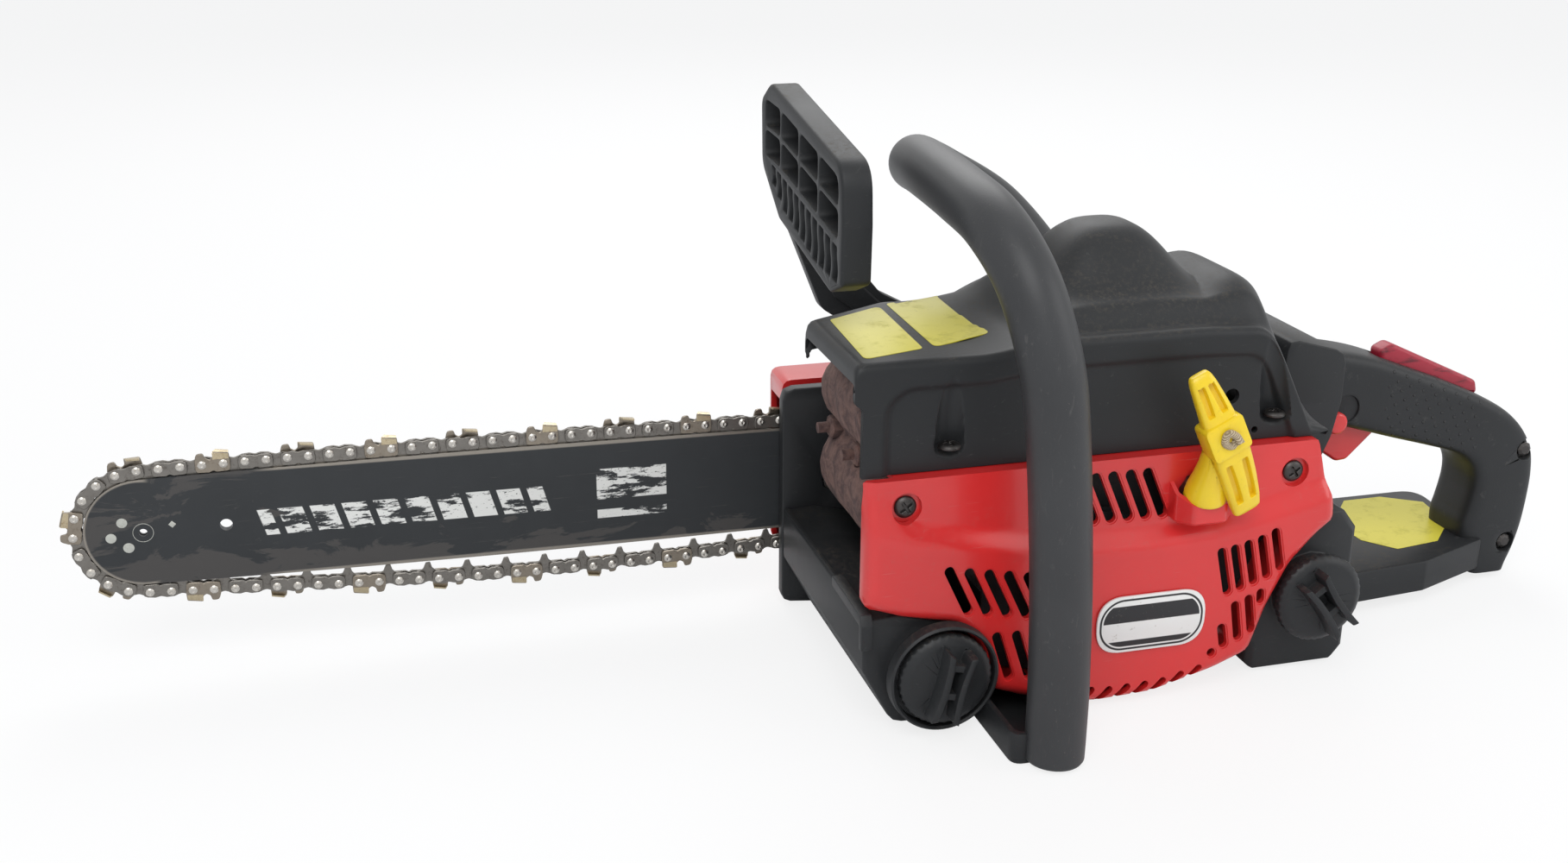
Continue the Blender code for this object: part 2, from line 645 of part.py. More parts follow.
def engine():
    centre = (CRANK_X, CRANK_Z)
    case = rounded(
        [(-36, 32, 12), (42, 32, 12), (42, 84, 10), (32, 107.5, 4), (-27, 107.5, 4), (-36, 84, 10)], 3
    )
    crankcase = plate("crankcase", case, -30.0, 49.5, "cast_metal")
    cut(crankcase, rod("crank_bore", xy(centre, -40.0), xy(centre, 60.0), CRANK_R + 0.3, sides=20))

    shaft = turned(
        "crankshaft",
        [(0.0, 84.0), (5.0, 84.0), (5.0, 79.5), (CRANK_R, 79.5), (CRANK_R, -50.0), (6.0, -62.0), (0.0, -62.0)],
        xy(centre, 0.0), (0, 1, 0), "bright_steel", 20,
    )
    nut = plate("flywheel_nut", hexagon(centre, 8.0), -66.0, -61.0, None)
    join(shaft, nut)

    web = [
        (CRANK_R + 0.2, 0.0), (CRANK_R + 0.2, 16.0), (15.0, 16.0), (15.0, 5.0), (FLYWHEEL_R - 7.0, 5.0),
        (FLYWHEEL_R - 7.0, 13.0), (FLYWHEEL_R, 13.0), (FLYWHEEL_R, 0.0), (CRANK_R + 0.2, 0.0),
    ]
    wheel = turned("flywheel", web, xy(centre, -48.0), (0, 1, 0), "cast_metal", 24)
    vanes = []
    for vane in range(12):
        angle = 360.0 / 12 * vane
        blade = arc(centre, 17.0, angle, angle + 5.0, 2) + arc(centre, FLYWHEEL_R - 1.0, angle + 19.0, angle + 16.0, 2)
        vanes.append(plate(f"vane_{vane}", blade, -54.0, -46.0))
    join(wheel, merged("vanes", vanes))

    block("ignition_coil", (CRANK_X + FLYWHEEL_R + 1.0, -47.0, 54.0), (62.0, -34.0, 82.0), "black_plastic", 2.0)

    base = 108.0
    fins = [(0.0, 168.0), (19.0, 168.0), (24.0, 164.0)]
    for fin in range(4, -1, -1):
        z = base + 5.0 + 11.0 * fin
        fins += [(CYLINDER_R, z + 2.4), (CYLINDER_R, z), (24.0, z - 0.8), (24.0, z - 8.0)]
    fins = fins[:-1] + [(24.0, base), (0.0, base)]
    cylinder = turned("cylinder", fins, (CRANK_X, -2.0, 0.0), (0, 0, 1), "cast_metal", 14)
    join(cylinder, block("exhaust_port", (-41.0, -15.0, 112.0), (-18.0, 11.0, 138.0)))
    join(cylinder, block("inlet_port", (22.0, -12.0, 112.0), (45.5, 10.0, 134.0)))
    cut(cylinder, rod("plug_hole", (CRANK_X, -2.0, 158.0), (CRANK_X, -2.0, 175.0), 5.0, sides=12))

    turned(
        "spark_plug",
        [(0.0, 22.0), (3.0, 22.0), (3.0, 13.2), (8.0, 12.6), (8.0, 8.7), (4.6, 8.7), (4.6, 0.0), (0.0, 0.0)],
        (CRANK_X, -2.0, 159.5), (0, 0, 1), "ceramic", 12,
    )
    turned(
        "plug_boot",
        [(0.0, 12.0), (6.0, 12.0), (7.0, 10.0), (7.0, 0.0), (3.3, 0.0), (3.3, 9.2), (0.0, 9.2)],
        (CRANK_X, -2.0, 173.0), (0, 0, 1), "rubber", 12,
    )

    body = block("carburettor", (46.2, -14.0, 110.0), (72.0, 14.0, 131.0), "cast_metal", 1.5)
    join(body, rod("fuel_pump_cover", (59.0, 8.0, 120.5), (59.0, 19.0, 120.5), 8.5, sides=12))
    cut(body, rod("throttle_bore", (40.0, 0.0, 121.0), (80.0, 0.0, 121.0), 7.0, sides=12))
    block("air_filter", (50.0, -42.0, 133.0), (87.0, 26.0, 160.0), "filter", 3.0)

    muffler()


def xy(centre, y):
    return (centre[0], y, centre[1])


def hexagon(centre, across):
    return circle(centre, across / math.sqrt(3), 6)


def muffler():
    """Two pressed shells crimped together, with a waist across the middle where the bolts sit."""
    low_x, high_x = -101.0, -41.6
    waist = 112.0
    stations = [(74.0, 9.0), (80.0, 2.5), (92.0, 0.0), (104.0, 2.0), (waist, 8.0), (120.0, 2.0), (134.0, 0.0), (143.0, 3.0), (148.5, 10.0)]
    rings = []
    for z, pull in stations:
        ring = rounded(
            [(low_x + pull, -46.0 + pull, 12), (high_x, -46.0 + pull, 5), (high_x, 27.0 - pull, 5), (low_x + pull, 27.0 - pull, 12)], 4
        )
        rings.append([(x, y, z) for x, y in ring])
    body = skin("muffler", rings, "rusty_steel")
    join(body, block("muffler_seam", (-73.3, -48.7, 83.7), (-70.4, 29.3, 140.7)))
    join(body, block("outlet_hood", (-98.0, -56.0, 82.0), (-84.0, -40.0, 98.0)))
    cut(body, block("outlet", (-96.0, -60.0, 84.0), (-86.0, -41.0, 96.0)))
    for name, y in (("muffler_bolt_near", -26.0), ("muffler_bolt_far", 12.0)):
        cut(body, rod(f"{name}_seat", (-120.0, y, waist), (-92.4, y, waist), 6.4, sides=10))
        cut(body, rod(f"{name}_hole", (-120.0, y, waist), (-88.0, y, waist), 3.0, sides=8))
        bolt = plate(name, hexagon((y, waist), 10.0), -98.5, -92.8, "rusty_steel", plane="YZ")
        join(bolt, rod(f"{name}_shank", (-104.0, y, waist), (-88.4, y, waist), 2.6, sides=8))


# ---------------------------------------------------------------- chassis and tanks


OIL_EDGE = [(-94.5, 57.0), (-70.5, 51.0), (-57.5, 38.0), (-52.5, 16.0)]
FUEL_EDGE = [(80.0, 19.5), (86.0, 40.0), (96.0, 61.0), (108.0, 74.0), (116.5, 81.0)]


def chassis():
    wall = rounded(
        [(FRONT_X, 4, 5), (FRONT_X, 119, 6), (-15, 119, 4), (26, 112, 10), (85, 112, 8), (85, 6, 6), (-30, 1, 8), (-92, 2, 8)], 3
    )
    body = plate("chassis", wall, 50.0, 57.3, "black_plastic")
    pad = [bar_point(*p) for p in ((42, -20), (98, -23), (103, -12), (103, 12), (98, 23), (42, 20))]
    join(body, plate("bar_pad", pad, 56.0, BAR_Y - RAIL - GAP))
    floor = rounded([(-48.0, -39.0, 4), (83.0, -39.0, 4), (83.0, 51.0, 4), (-48.0, 51.0, 4)], 3)
    join(body, plate("floor", floor, 0.0, 8.0, plane="XY"))
    join(body, block("crankcase_seat", (-30.0, -24.0, 6.0), (38.0, 44.0, 31.5)))
    cut(body, block("floor_recess", (44.0, -34.0, 3.0), (78.0, 43.0, 20.0)))
    tower = rounded(
        [
            (74, 84, 3), (140, 84, 4), (146.5, 100, 8), (150, 118, 3), (150, 143, 8), (117.5, 152, 5), (114.5, 117.6, 3),
            (76, 116.4, 3),
        ],
        3,
    )
    join(body, plate("rear_tower", tower, -32.0, 40.0))
    join(body, block("tower_post", (75.5, 34.0, 90.0), (103.0, 54.0, 108.0)))
    cut(body, block("handle_socket", (134.0, -22.0, 96.0), (160.0, 30.0, 134.0)))
    for name, along in zip(("bar_stud_front", "bar_stud_rear"), STUDS[::-1]):
        x, z = bar_point(along, 0.0)
        cut(body, rod(f"{name}_hole", (x, 40.0, z), (x, 70.0, z), 4.4, sides=16))
    cut(body, rod("crank_window", xy((CRANK_X, CRANK_Z), 45.0), xy((CRANK_X, CRANK_Z), 70.0), 24.5, sides=20))
    join(body, block("handle_bracket", (22.0, 38.0, 110.0), (60.0, 56.8, 132.0), bevel=3.0))
    return body


def tank(name, outline, low, high, cap, inner_low, inner_high):
    """A moulded tank: hollow, with a round filler neck in its left side."""
    body = plate(name, outline, low, high, "black_plastic", 3.0)
    cut(body, block(f"{name}_space", inner_low, inner_high))
    x, z = cap
    neck = rod(f"{name}_neck", (x, low + 6.0, z), (x, low - 7.0, z), CAP_R - 3.0, sides=16)
    join(body, neck)
    cut(body, rod(f"{name}_filler", (x, low - 9.0, z), (x, inner_low[1] + 3.0, z), NECK_R, sides=16))
    return body


def tanks():
    oil = rounded([(FRONT_X, 59.5, 2), (FRONT_X, 31, 4), (-96, 3.5, 8), (-50.5, 1.5, 3)], 3)
    oil += OIL_EDGE[::-1]
    tank("oil_tank", oil, -83.0, 49.0, OIL_CAP, (-99.0, -76.0, 9.0), (-64.0, 30.0, 41.0))
    fuel = [(85.0, 2.0), (133.0, 2.0), (137.5, 8.0), (137.5, 70.0), (129.0, 81.0)]
    fuel += [*FUEL_EDGE[::-1], (85.0, 16.0)]
    tank("fuel_tank", fuel, -76.0, 46.0, FUEL_CAP, (98.0, -69.0, 9.0), (131.0, 38.0, 56.0))


def filler_cap(name, centre, face):
    """A screw cap: a rim, a plug that enters the neck over its seal, and a raised bar to grip."""
    x, z = centre
    profile = [
        (0.0, 7.0), (CAP_R - 3.0, 7.0), (CAP_R, 5.0), (CAP_R, 0.4), (NECK_R - 0.6, 0.4), (NECK_R - 0.6, -9.0), (0.0, -9.0),
    ]
    cap = turned(name, profile, (x, face, z), (0, -1, 0), "black_plastic", 16)
    for side in (-1, 1):
        bar = rounded([(x + side * 2.0, z - 17, 0), (x + side * 6.2, z - 15, 0), (x + side * 6.2, z + 15, 0), (x + side * 2.0, z + 17, 0)])
        join(cap, plate(f"{name}_bar_{side + 1}", bar, face - 17.0, face - 5.0))
    join(cap, block(f"{name}_web", (x - 3.0, face - 13.0, z - 13.0), (x + 3.0, face - 5.0, z + 13.0)))
    seal = pipe(f"{name}_seal", (x, face + 8.8, z), (x, face + 5.6, z), NECK_R - 0.3, NECK_R - 2.4, "rubber", 16)
    groove = pipe(f"{name}_groove", (x, face + 9.1, z), (x, face + 5.3, z), NECK_R + 1.0, NECK_R - 2.7, None, 16)
    cut(cap, groove)
    hold_on(f"{name}_axis", (x, face, z), cap, seal)


# ---------------------------------------------------------------- casing


HOUSING_SCREWS = (("housing_screw_front", (-93.0, 108.0)), ("housing_screw_rear", (94.0, 106.0)))
COVER_SCREWS = (("cover_screw_front", (-72.0, 134.0)), ("cover_screw_rear", (84.0, 135.0)))


def starter_housing():
    """The red side shell: upright above, swelling outwards below the fold, open towards the engine."""
    corners = (
        [(-112, SEAM_Z, 2), (-112, 64, 5), (-95, 57.8, 5), (-70, 52, 5), (-57, 39, 5), (-52, 17, 5), (-36, 11, 8),
         (0, 3, 20), (29, 4, 20), (60, 12, 14), (78, 19, 6), (85, 41, 6), (95, 62, 6), (107, 75, 5), (116, 82, 4), (104.5, SEAM_Z, 2)]
    )
    body = plate("starter_housing", rounded(corners, 3), BULGE_Y, -40.0, "red_plastic")
    above = plate("fold_cut", [(-130.0, 87.0), (-6.0, 77.0), (53.0, 79.0), (125.0, 88.0), (125.0, 140.0), (-130.0, 140.0)], -120.0, BULGE_Y)
    add_slope(above)
    cut(body, above)
    add_bevel(body, 4.0, 1, 50.0)
    hollow = plate("housing_hollow", rounded(inset(corners, WALL), 3), LEFT_Y + WALL, -20.0)
    cut(body, hollow)
    cut(body, block("front_opening", (-120.0, LEFT_Y + WALL, 66.0), (-100.0, -20.0, 117.9)))
    cut(body, block("muffler_clearance", (-130.0, -49.6, 60.0), (-38.0, -20.0, 130.0)))
    for name, centre in HOUSING_SCREWS:
        pocket = rod(f"{name}_pocket", (centre[0], -100.0, centre[1]), (centre[0], LEFT_Y + 2.0, centre[1]), 6.0, sides=12)
        cut(body, pocket)
    cut(body, rod("guide_hole", ROPE_EXIT - PULL_WAY * 12.0, ROPE_EXIT + PULL_WAY * 6.0, 8.9, sides=14))
    cut(body, rod("collar_recess", ROPE_EXIT + PULL_WAY * 4.8, ROPE_EXIT + PULL_WAY * 40.0, 12.2, sides=14))
    slots = []
    for centre, length, angle in housing_slots():
        slots.append(plate(f"slot_{len(slots)}", slot(centre, length, 4.4, angle, 2), -100.0, -70.0))
    cut(body, merged("housing_slots", slots))
    return body


def add_slope(cutter):
    """Leans the cutter's outer face so that it trims a wedge that deepens towards the seam."""
    for vertex in cutter.data.vertices:
        world = cutter.matrix_world @ vertex.co
        if world.y / MM > BULGE_Y - 1 and world.z / MM > 100.0:
            world.y = (LEFT_Y + 1.5) * MM
            vertex.co = cutter.matrix_world.inverted() @ world


def housing_slots():
    """Cooling slots in four groups, each as (centre, length, angle)."""
    for i in range(5):
        yield (2.0 + 6.8 * i, 103.0 - 0.4 * i), 21.0, 100.0
    for i in range(4):
        yield (-71.0 + 8.6 * i, 71.0 - 1.2 * i), 24.0, 107.0
    for i in range(2):
        yield (-49.0 + 8.6 * i, 38.0 - 1.2 * i), 22.0, 107.0
    for i in range(5):
        yield (68.0 + 6.6 * i, 66.0 + 1.8 * i), 21.0 - 1.0 * i, 82.0
    for i in range(4):
        yield (66.0 + 6.2 * i, 33.0 + 2.8 * i), 18.0 - 2.0 * i, 82.0


def inset(corners, distance):
    """The (x, z, radius) corners of an outline moved inwards by a distance, with tighter radii."""
    points = [Vector(corner[:2]) for corner in corners]
    area = sum(a.x * b.y - b.x * a.y for a, b in zip(points, points[1:] + points[:1]))
    side = 1.0 if area > 0 else -1.0
    moved = []
    around = zip(points[-1:] + points[:-1], points, points[1:] + points[:1], corners)
    for before, here, after, corner in around:
        first = Vector((-(here - before).y, (here - before).x)).normalized() * side
        second = Vector((-(after - here).y, (after - here).x)).normalized() * side
        normal = (first + second).normalized()
        place = here + normal * distance / max(normal.dot(first), 0.4)
        moved.append((place.x, place.y, max(corner[2] - distance, 1.0)))
    return moved


def cover_height(x, y):
    """The top cover's crown: a flat front, a step up to the plateau and the dome over the spark plug."""
    front = 172.0 + 4.0 * smooth(x, -60.0, -30.0)
    rear = 176.0 - 2.0 * smooth(x, 40.0, 90.0)
    plateau = 10.0 * smooth(x, -50.0, -15.0) * smooth(y, -74.0, -60.0)
    fall = -34.0 * smooth(x, 70.0, 122.0)
    dome = 30.0 * np.exp(-(((x - 25.0) / 34.0) ** 4)) * np.exp(-(((y + 24.0) / 27.0) ** 4))
    lobe = 12.0 * np.exp(-(((x - 70.0) / 26.0) ** 4)) * np.exp(-(((y + 22.0) / 26.0) ** 4))
    right = -10.0 * smooth(y, 0.0, COVER_RIGHT)
    return np.minimum(front, rear) + plateau + fall + np.maximum(dome, lobe) + right


def smooth(value, low, high):
    share = np.clip((np.asarray(value, float) - low) / (high - low), 0.0, 1.0)
    return share * share * (3.0 - 2.0 * share)


def cover_section(x, across=11):
    """One cross-section of the top cover as (y, z) points, from its left foot over the top to its right one."""
    left = COVER_LEFT
    right = COVER_RIGHT - 60.0 * (1.0 - smooth(x, -119.0, -30.0))
    foot = SEAM_Z + 0.4
    y = left + (right - left) * (0.5 - 0.5 * np.cos(np.pi * np.linspace(0.06, 0.94, across)))
    edge = np.minimum(y - left, right - y)
    z = cover_height(np.full(across, x), y) - 11.0 * np.clip(1.0 - edge / 14.0, 0.0, 1.0) ** 2
    points = [(left, foot), (left - 0.8, (foot + z[0]) / 2), (left - 0.4, z[0] - 8.0)]
    points += list(zip(y, z))
    foot += 36.0 * (1.0 - smooth(x, -42.0, -26.0))
    points += [(right + 0.4, z[-1] - 5.0), (right + 0.8, (foot + z[-1] - 3.0) / 2), (right, foot)]
    return points


def top_cover():
    """A moulded shell over the cylinder: a surface lofted along X, open below and in front, with a wall inwards."""
    stations = (-114.0, -100.0, -80.0, -60.0, -42.0, -24.0, -10.0, 4.0, 24.0, 44.0, 58.0, 74.0, 90.0, 104.0)
    rings = [[(x, y, z) for y, z in cover_section(x)] for x in stations]
    rear = [(x + 8.0, y, SEAM_Z + 2.0 + 0.1 * (z - SEAM_Z)) for x, y, z in rings[-1]]
    cover = sheet("top_cover", [*rings, rear], "black_plastic")
    wall = cover.modifiers.new("wall", "SOLIDIFY")
    wall.thickness = WALL * MM
    wall.offset = -1.0
    for name, (x, z) in COVER_SCREWS:
        cut(cover, rod(f"{name}_pocket", (x, -100.0, z), (x, COVER_LEFT + 0.9, z), 6.4, sides=12))
    x, z = CHOKE_HOLE
    return cut(cover, rod("choke_hole", (x, -100.0, z), (x, -60.0, z), 3.6, sides=8))


def clutch_cover():
    corners = [
        (-107, 24, 8), (-107, 119, 5), (15, 119, 12), (66, 108, 16), (82, 84, 16), (78, 38, 20), (52, 16, 20), (-60, 12, 12),
    ]
    body = plate("clutch_cover", rounded(corners, 3), BAR_Y + 2.4, 92.0, "red_plastic")
    add_bevel(body, 3.0)
    cut(body, plate("clutch_cover_hollow", rounded(inset(corners, WALL), 3), 40.0, 89.0))
    cut(body, block("chain_mouth", (-120.0, 40.0, 27.0), (-95.0, 86.0, 108.0)))
    cut(body, block("chip_outlet", (-70.0, 50.0, 0.0), (-10.0, 86.0, 22.0)))
    for name, along in zip(("bar_nut_front", "bar_nut_rear"), STUDS[::-1]):
        x, z = bar_point(along, 0.0)
        boss = rod(f"{name}_boss", (x, BAR_Y + RAIL + GAP, z), (x, 90.5, z), 9.0, sides=16)
        join(body, boss)
        cut(body, rod(f"{name}_hole", (x, 50.0, z), (x, 100.0, z), 4.4, sides=16))
        stud = rod(name.replace("nut", "stud"), (x, 50.6, z), (x, 101.0, z), 3.9, "bright_steel", sides=16)
        nut = plate(name, hexagon((x, z), 13.0), 92.4, 99.0, "bright_steel", holes=(circle((x, z), 4.2, 16),))
    catcher = rounded([(-104, 6, 2), (-90, 2, 2), (-84, 10, 2), (-92, 22, 3), (-101, 22, 3)], 2)
    plate("chain_catcher", catcher, 57.7, 64.0, "cast_metal")


# ---------------------------------------------------------------- handles and controls


def front_handle():
    left = -126.0
    route = [
        (-40.0, -97.0, 15.4), (-39.5, -112.0, 16.5), (-36.5, left, 32.0), (-39.0, left, 90.0), (-44.0, left, 150.0),
        (-48.5, -124.5, 182.0), (-55.0, -113.0, 212.0), (-60.0, -88.0, 230.0), (-60.0, -50.0, 235.0),
        (-57.0, 0.0, 236.0), (-50.0, 34.0, 232.0), (-32.0, 50.0, 223.0), (0.0, 56.0, 203.0),
        (28.0, 57.0, 172.0), (39.0, 54.0, 150.0), (41.5, 52.0, 136.5),
    ]
    tube("front_handle", route, TUBE_R, "rubber", 3, 2)
    foot = rounded([(-51.0, -106.0, 5), (-28.0, -106.0, 5), (-28.0, -39.4, 0), (-51.0, -39.4, 0)], 3)
    base = plate("handle_foot", foot, 0.0, 6.4, "black_plastic", plane="XY")
    join(base, rod("foot_socket", (-40.0, -90.6, 15.6), (-40.0, -105.0, 15.6), 16.0, sides=20))
    cut(base, rod("foot_bore", (-40.0, -94.4, 15.6), (-40.0, -130.0, 15.6), TUBE_R + 0.5, sides=20))
    cut(base, block("foot_trim", (-80.0, -140.0, -10.0), (0.0, -60.0, 0.2)))


def guard():
    """The hand guard's front is a grid of pockets and narrow slots, on an arm beside the cylinder cover."""
    front, back = -111.0, -97.0
    panel = rounded(
        [(-44, 196, 7), (-42, 248, 10), (74, 266, 12), (91, 256, 8), (90, 224, 12), (58, 203, 10), (-30, 190, 6)], 4
    )
    body = plate("hand_guard", panel, front, back, "black_plastic", 1.6, plane="YZ")

    def at(column, row):
        y = -38.0 + 124.0 * column
        top = 244.0 + 18.0 * min(column, 1.0)
        return y, top - 2.0 - row

    pockets = []
    for i in range(4):
        for j in range(2):
            a, b = at(i / 4 + 0.01, 14.5 * j), at((i + 1) / 4 - 0.015, 14.5 * j)
            if i == 3:
                b = (b[0] - 2.0, b[1] - 3.0)
            pockets.append([(a[0], a[1] - 12.5), (b[0], b[1] - 12.5), b, a])
    for i in range(11):
        a, b = at(i / 11 + 0.01, 30.5), at(i / 11 + 0.065, 30.5)
        depth = 19.0 - 0.9 * abs(i - 3) if i < 9 else 11.0 - 4.0 * (i - 9)
        pockets.append([(a[0], a[1] - depth), (b[0], b[1] - depth), b, a])
    cut(body, merged("guard_pockets", [plate(f"pocket_{i}", p, front - 5.0, back - 3.0, plane="YZ") for i, p in enumerate(pockets)]))
    x, z = GUARD_PIVOT
    arm = rounded([(-108.5, 226, 4), (-109.5, 204, 4), (-92, 160, 10), (x - 14, z - 3, 4), (x - 10, z - 12, 8), (x + 12, z - 12, 8), (x + 12, z + 10, 8), (-62, 166, 12), (-72, 178, 8), (-97.5, 212, 3), (-97.5, 226, 2)], 3)
    join(body, plate("guard_arm", arm, 47.8, 55.8))
    cut(body, rod("guard_eye", (x, 40.0, z), (x, 70.0, z), 4.3, sides=16))
    screw = turned(
        "guard_pivot_screw",
        [(0.0, 10.5), (7.0, 10.5), (7.5, 9.0), (7.5, 8.4), (4.0, 8.4), (4.0, -0.5), (0.0, -0.5)],
        (x, 47.8, z), (0, 1, 0), "bright_steel", 16,
    )
    hold_on("guard_axis", (x, 52.0, z), body)


def rear_handle():
    """A closed loop: the grip, its rear bow and a tongue that the chassis tower's socket takes."""
    corners = [
        (151, 99, 5), (168, 94.5, 8), (192, 87.5, 14), (240, 73, 16), (249, 60, 8), (246, 36, 10), (243, 26.4, 3),
        (262, 26.4, 3), (264, 3, 6), (284, 3, 8), (286.5, 34, 16), (286.5, 72, 20), (276, 90, 20), (252, 108, 18),
        (184, 135.5, 16), (156, 143, 10), (150.8, 141, 6),
    ]
    body = pillow("rear_handle", corners, GRIP_LEFT, GRIP_RIGHT, 7.0, "black_plastic")
    join(body, block("handle_tongue", (134.6, -11.0, 98.0), (160.0, 19.0, 131.0)))
    middle = (GRIP_LEFT + GRIP_RIGHT) / 2
    cut(body, block("trigger_slot", (140.0, middle - 6.6, 80.0), (196.0, middle + 6.6, 112.0)))
    cut(body, plate("lockout_slot", [(178.5, 116), (250, 90), (262, 118), (181.5, 150)], middle - 6.6, middle + 6.6))
    x, z = STOP_BUTTON
    cut(body, rod("button_hole", (x, GRIP_LEFT - 5.0, z), (x, GRIP_LEFT + 8.0, z), 6.2, sides=16))
    for name, centre in (("handle_screw_upper", (278.0, 73.0)), ("handle_screw_lower", (274.0, 21.0))):
        hole = rod(f"{name}_hole", (centre[0], GRIP_LEFT - 5.0, centre[1]), (centre[0], GRIP_LEFT + 9.0, centre[1]), 4.6, sides=16)
        cut(body, hole)
        screw_head(name, (centre[0], GRIP_LEFT + 3.0, centre[1]), (0, -1, 0), 4.0, 5.0)

    base = rounded([(139, -66, 8), (168, -36, 6), (212, -32, 8), (256, -14.5, 4), (256, 22.5, 0), (262, 58, 10), (150, 58, 10), (139, 48, 4)], 3)
    floor = plate("rear_guard", base, 8.0, 25.4, "black_plastic", 2.0, plane="XY")
    cut(floor, block("rear_guard_hollow", (144.0, -24.0, 0.0), (250.0, 52.0, 21.0)))
    join(floor, block("rear_guard_foot", (212.0, 24.0, 0.0), (258.0, 55.0, 10.0), bevel=3.0))

    pivot_x, pivot_z = TRIGGER_PIVOT
    blade = rounded([(145.5, 95, 3), (150, 88, 4), (172, 72.5, 5), (178, 73, 4), (193.5, 88, 3), (190, 101, 3), (163, 108, 6), (147, 108, 5)], 3)
    trigger = plate("throttle_trigger", blade, middle - 5.4, middle + 5.4, "red_plastic", 1.6)
    cut(trigger, rod("trigger_eye", (pivot_x, -20.0, pivot_z), (pivot_x, 30.0, pivot_z), 2.4, sides=12))
    rod("trigger_pin", (pivot_x, middle - 6.3, pivot_z), (pivot_x, middle + 6.3, pivot_z), 2.0, "bright_steel", 12)
    hold_on("trigger_axis", (pivot_x, middle, pivot_z), trigger)

    pivot_x, pivot_z = LOCKOUT_PIVOT
    lever = rounded([(183.5, 118, 2), (184, 141, 4), (196, 142, 5), (244, 118.5, 4), (241, 108, 3), (196, 117, 3)], 3)
    lockout = plate("lockout_lever", lever, middle - 5.4, middle + 5.4, "red_plastic", 1.6)
    cut(lockout, rod("lockout_eye", (pivot_x, -20.0, pivot_z), (pivot_x, 30.0, pivot_z), 2.4, sides=12))
    rod("lockout_pin", (pivot_x, middle - 6.3, pivot_z), (pivot_x, middle + 6.3, pivot_z), 2.0, "bright_steel", 12)
    hold_on("lockout_axis", (pivot_x, middle, pivot_z), lockout)

    x, z = STOP_BUTTON
    button = turned(
        "stop_button",
        [(0.0, 10.0), (4.6, 10.0), (5.6, 9.0), (5.6, 6.0), (4.6, 6.0), (4.6, -3.0), (0.0, -3.0)],
        (x, GRIP_LEFT, z), (0, -1, 0), "red_plastic", 20,
    )
    hold_on("button_axis", (x, GRIP_LEFT, z), button)


def screw_head(name, place, axis, radius, length, finish="bright_steel"):
    """A pan-head screw with a cross slot, seated with its head outwards."""
    profile = [(0.0, 2.6), (radius * 0.6, 2.4), (radius, 1.2), (radius, 0.0), (radius * 0.5, 0.0), (radius * 0.5, -length), (0.0, -length)]
    return turned(name, profile, place, axis, finish, 8)


def casing_screws():
    for screws, y in ((HOUSING_SCREWS, LEFT_Y + 1.7), (COVER_SCREWS, COVER_LEFT + 0.6)):
        for name, (x, z) in screws:
            profile = [(0.0, 2.4), (3.4, 2.2), (5.0, 1.0), (5.0, 0.0), (0.0, 0.0)]
            turned(name, profile, (x, y, z), (0, -1, 0), "dark_steel", 10)


# ---------------------------------------------------------------- starter


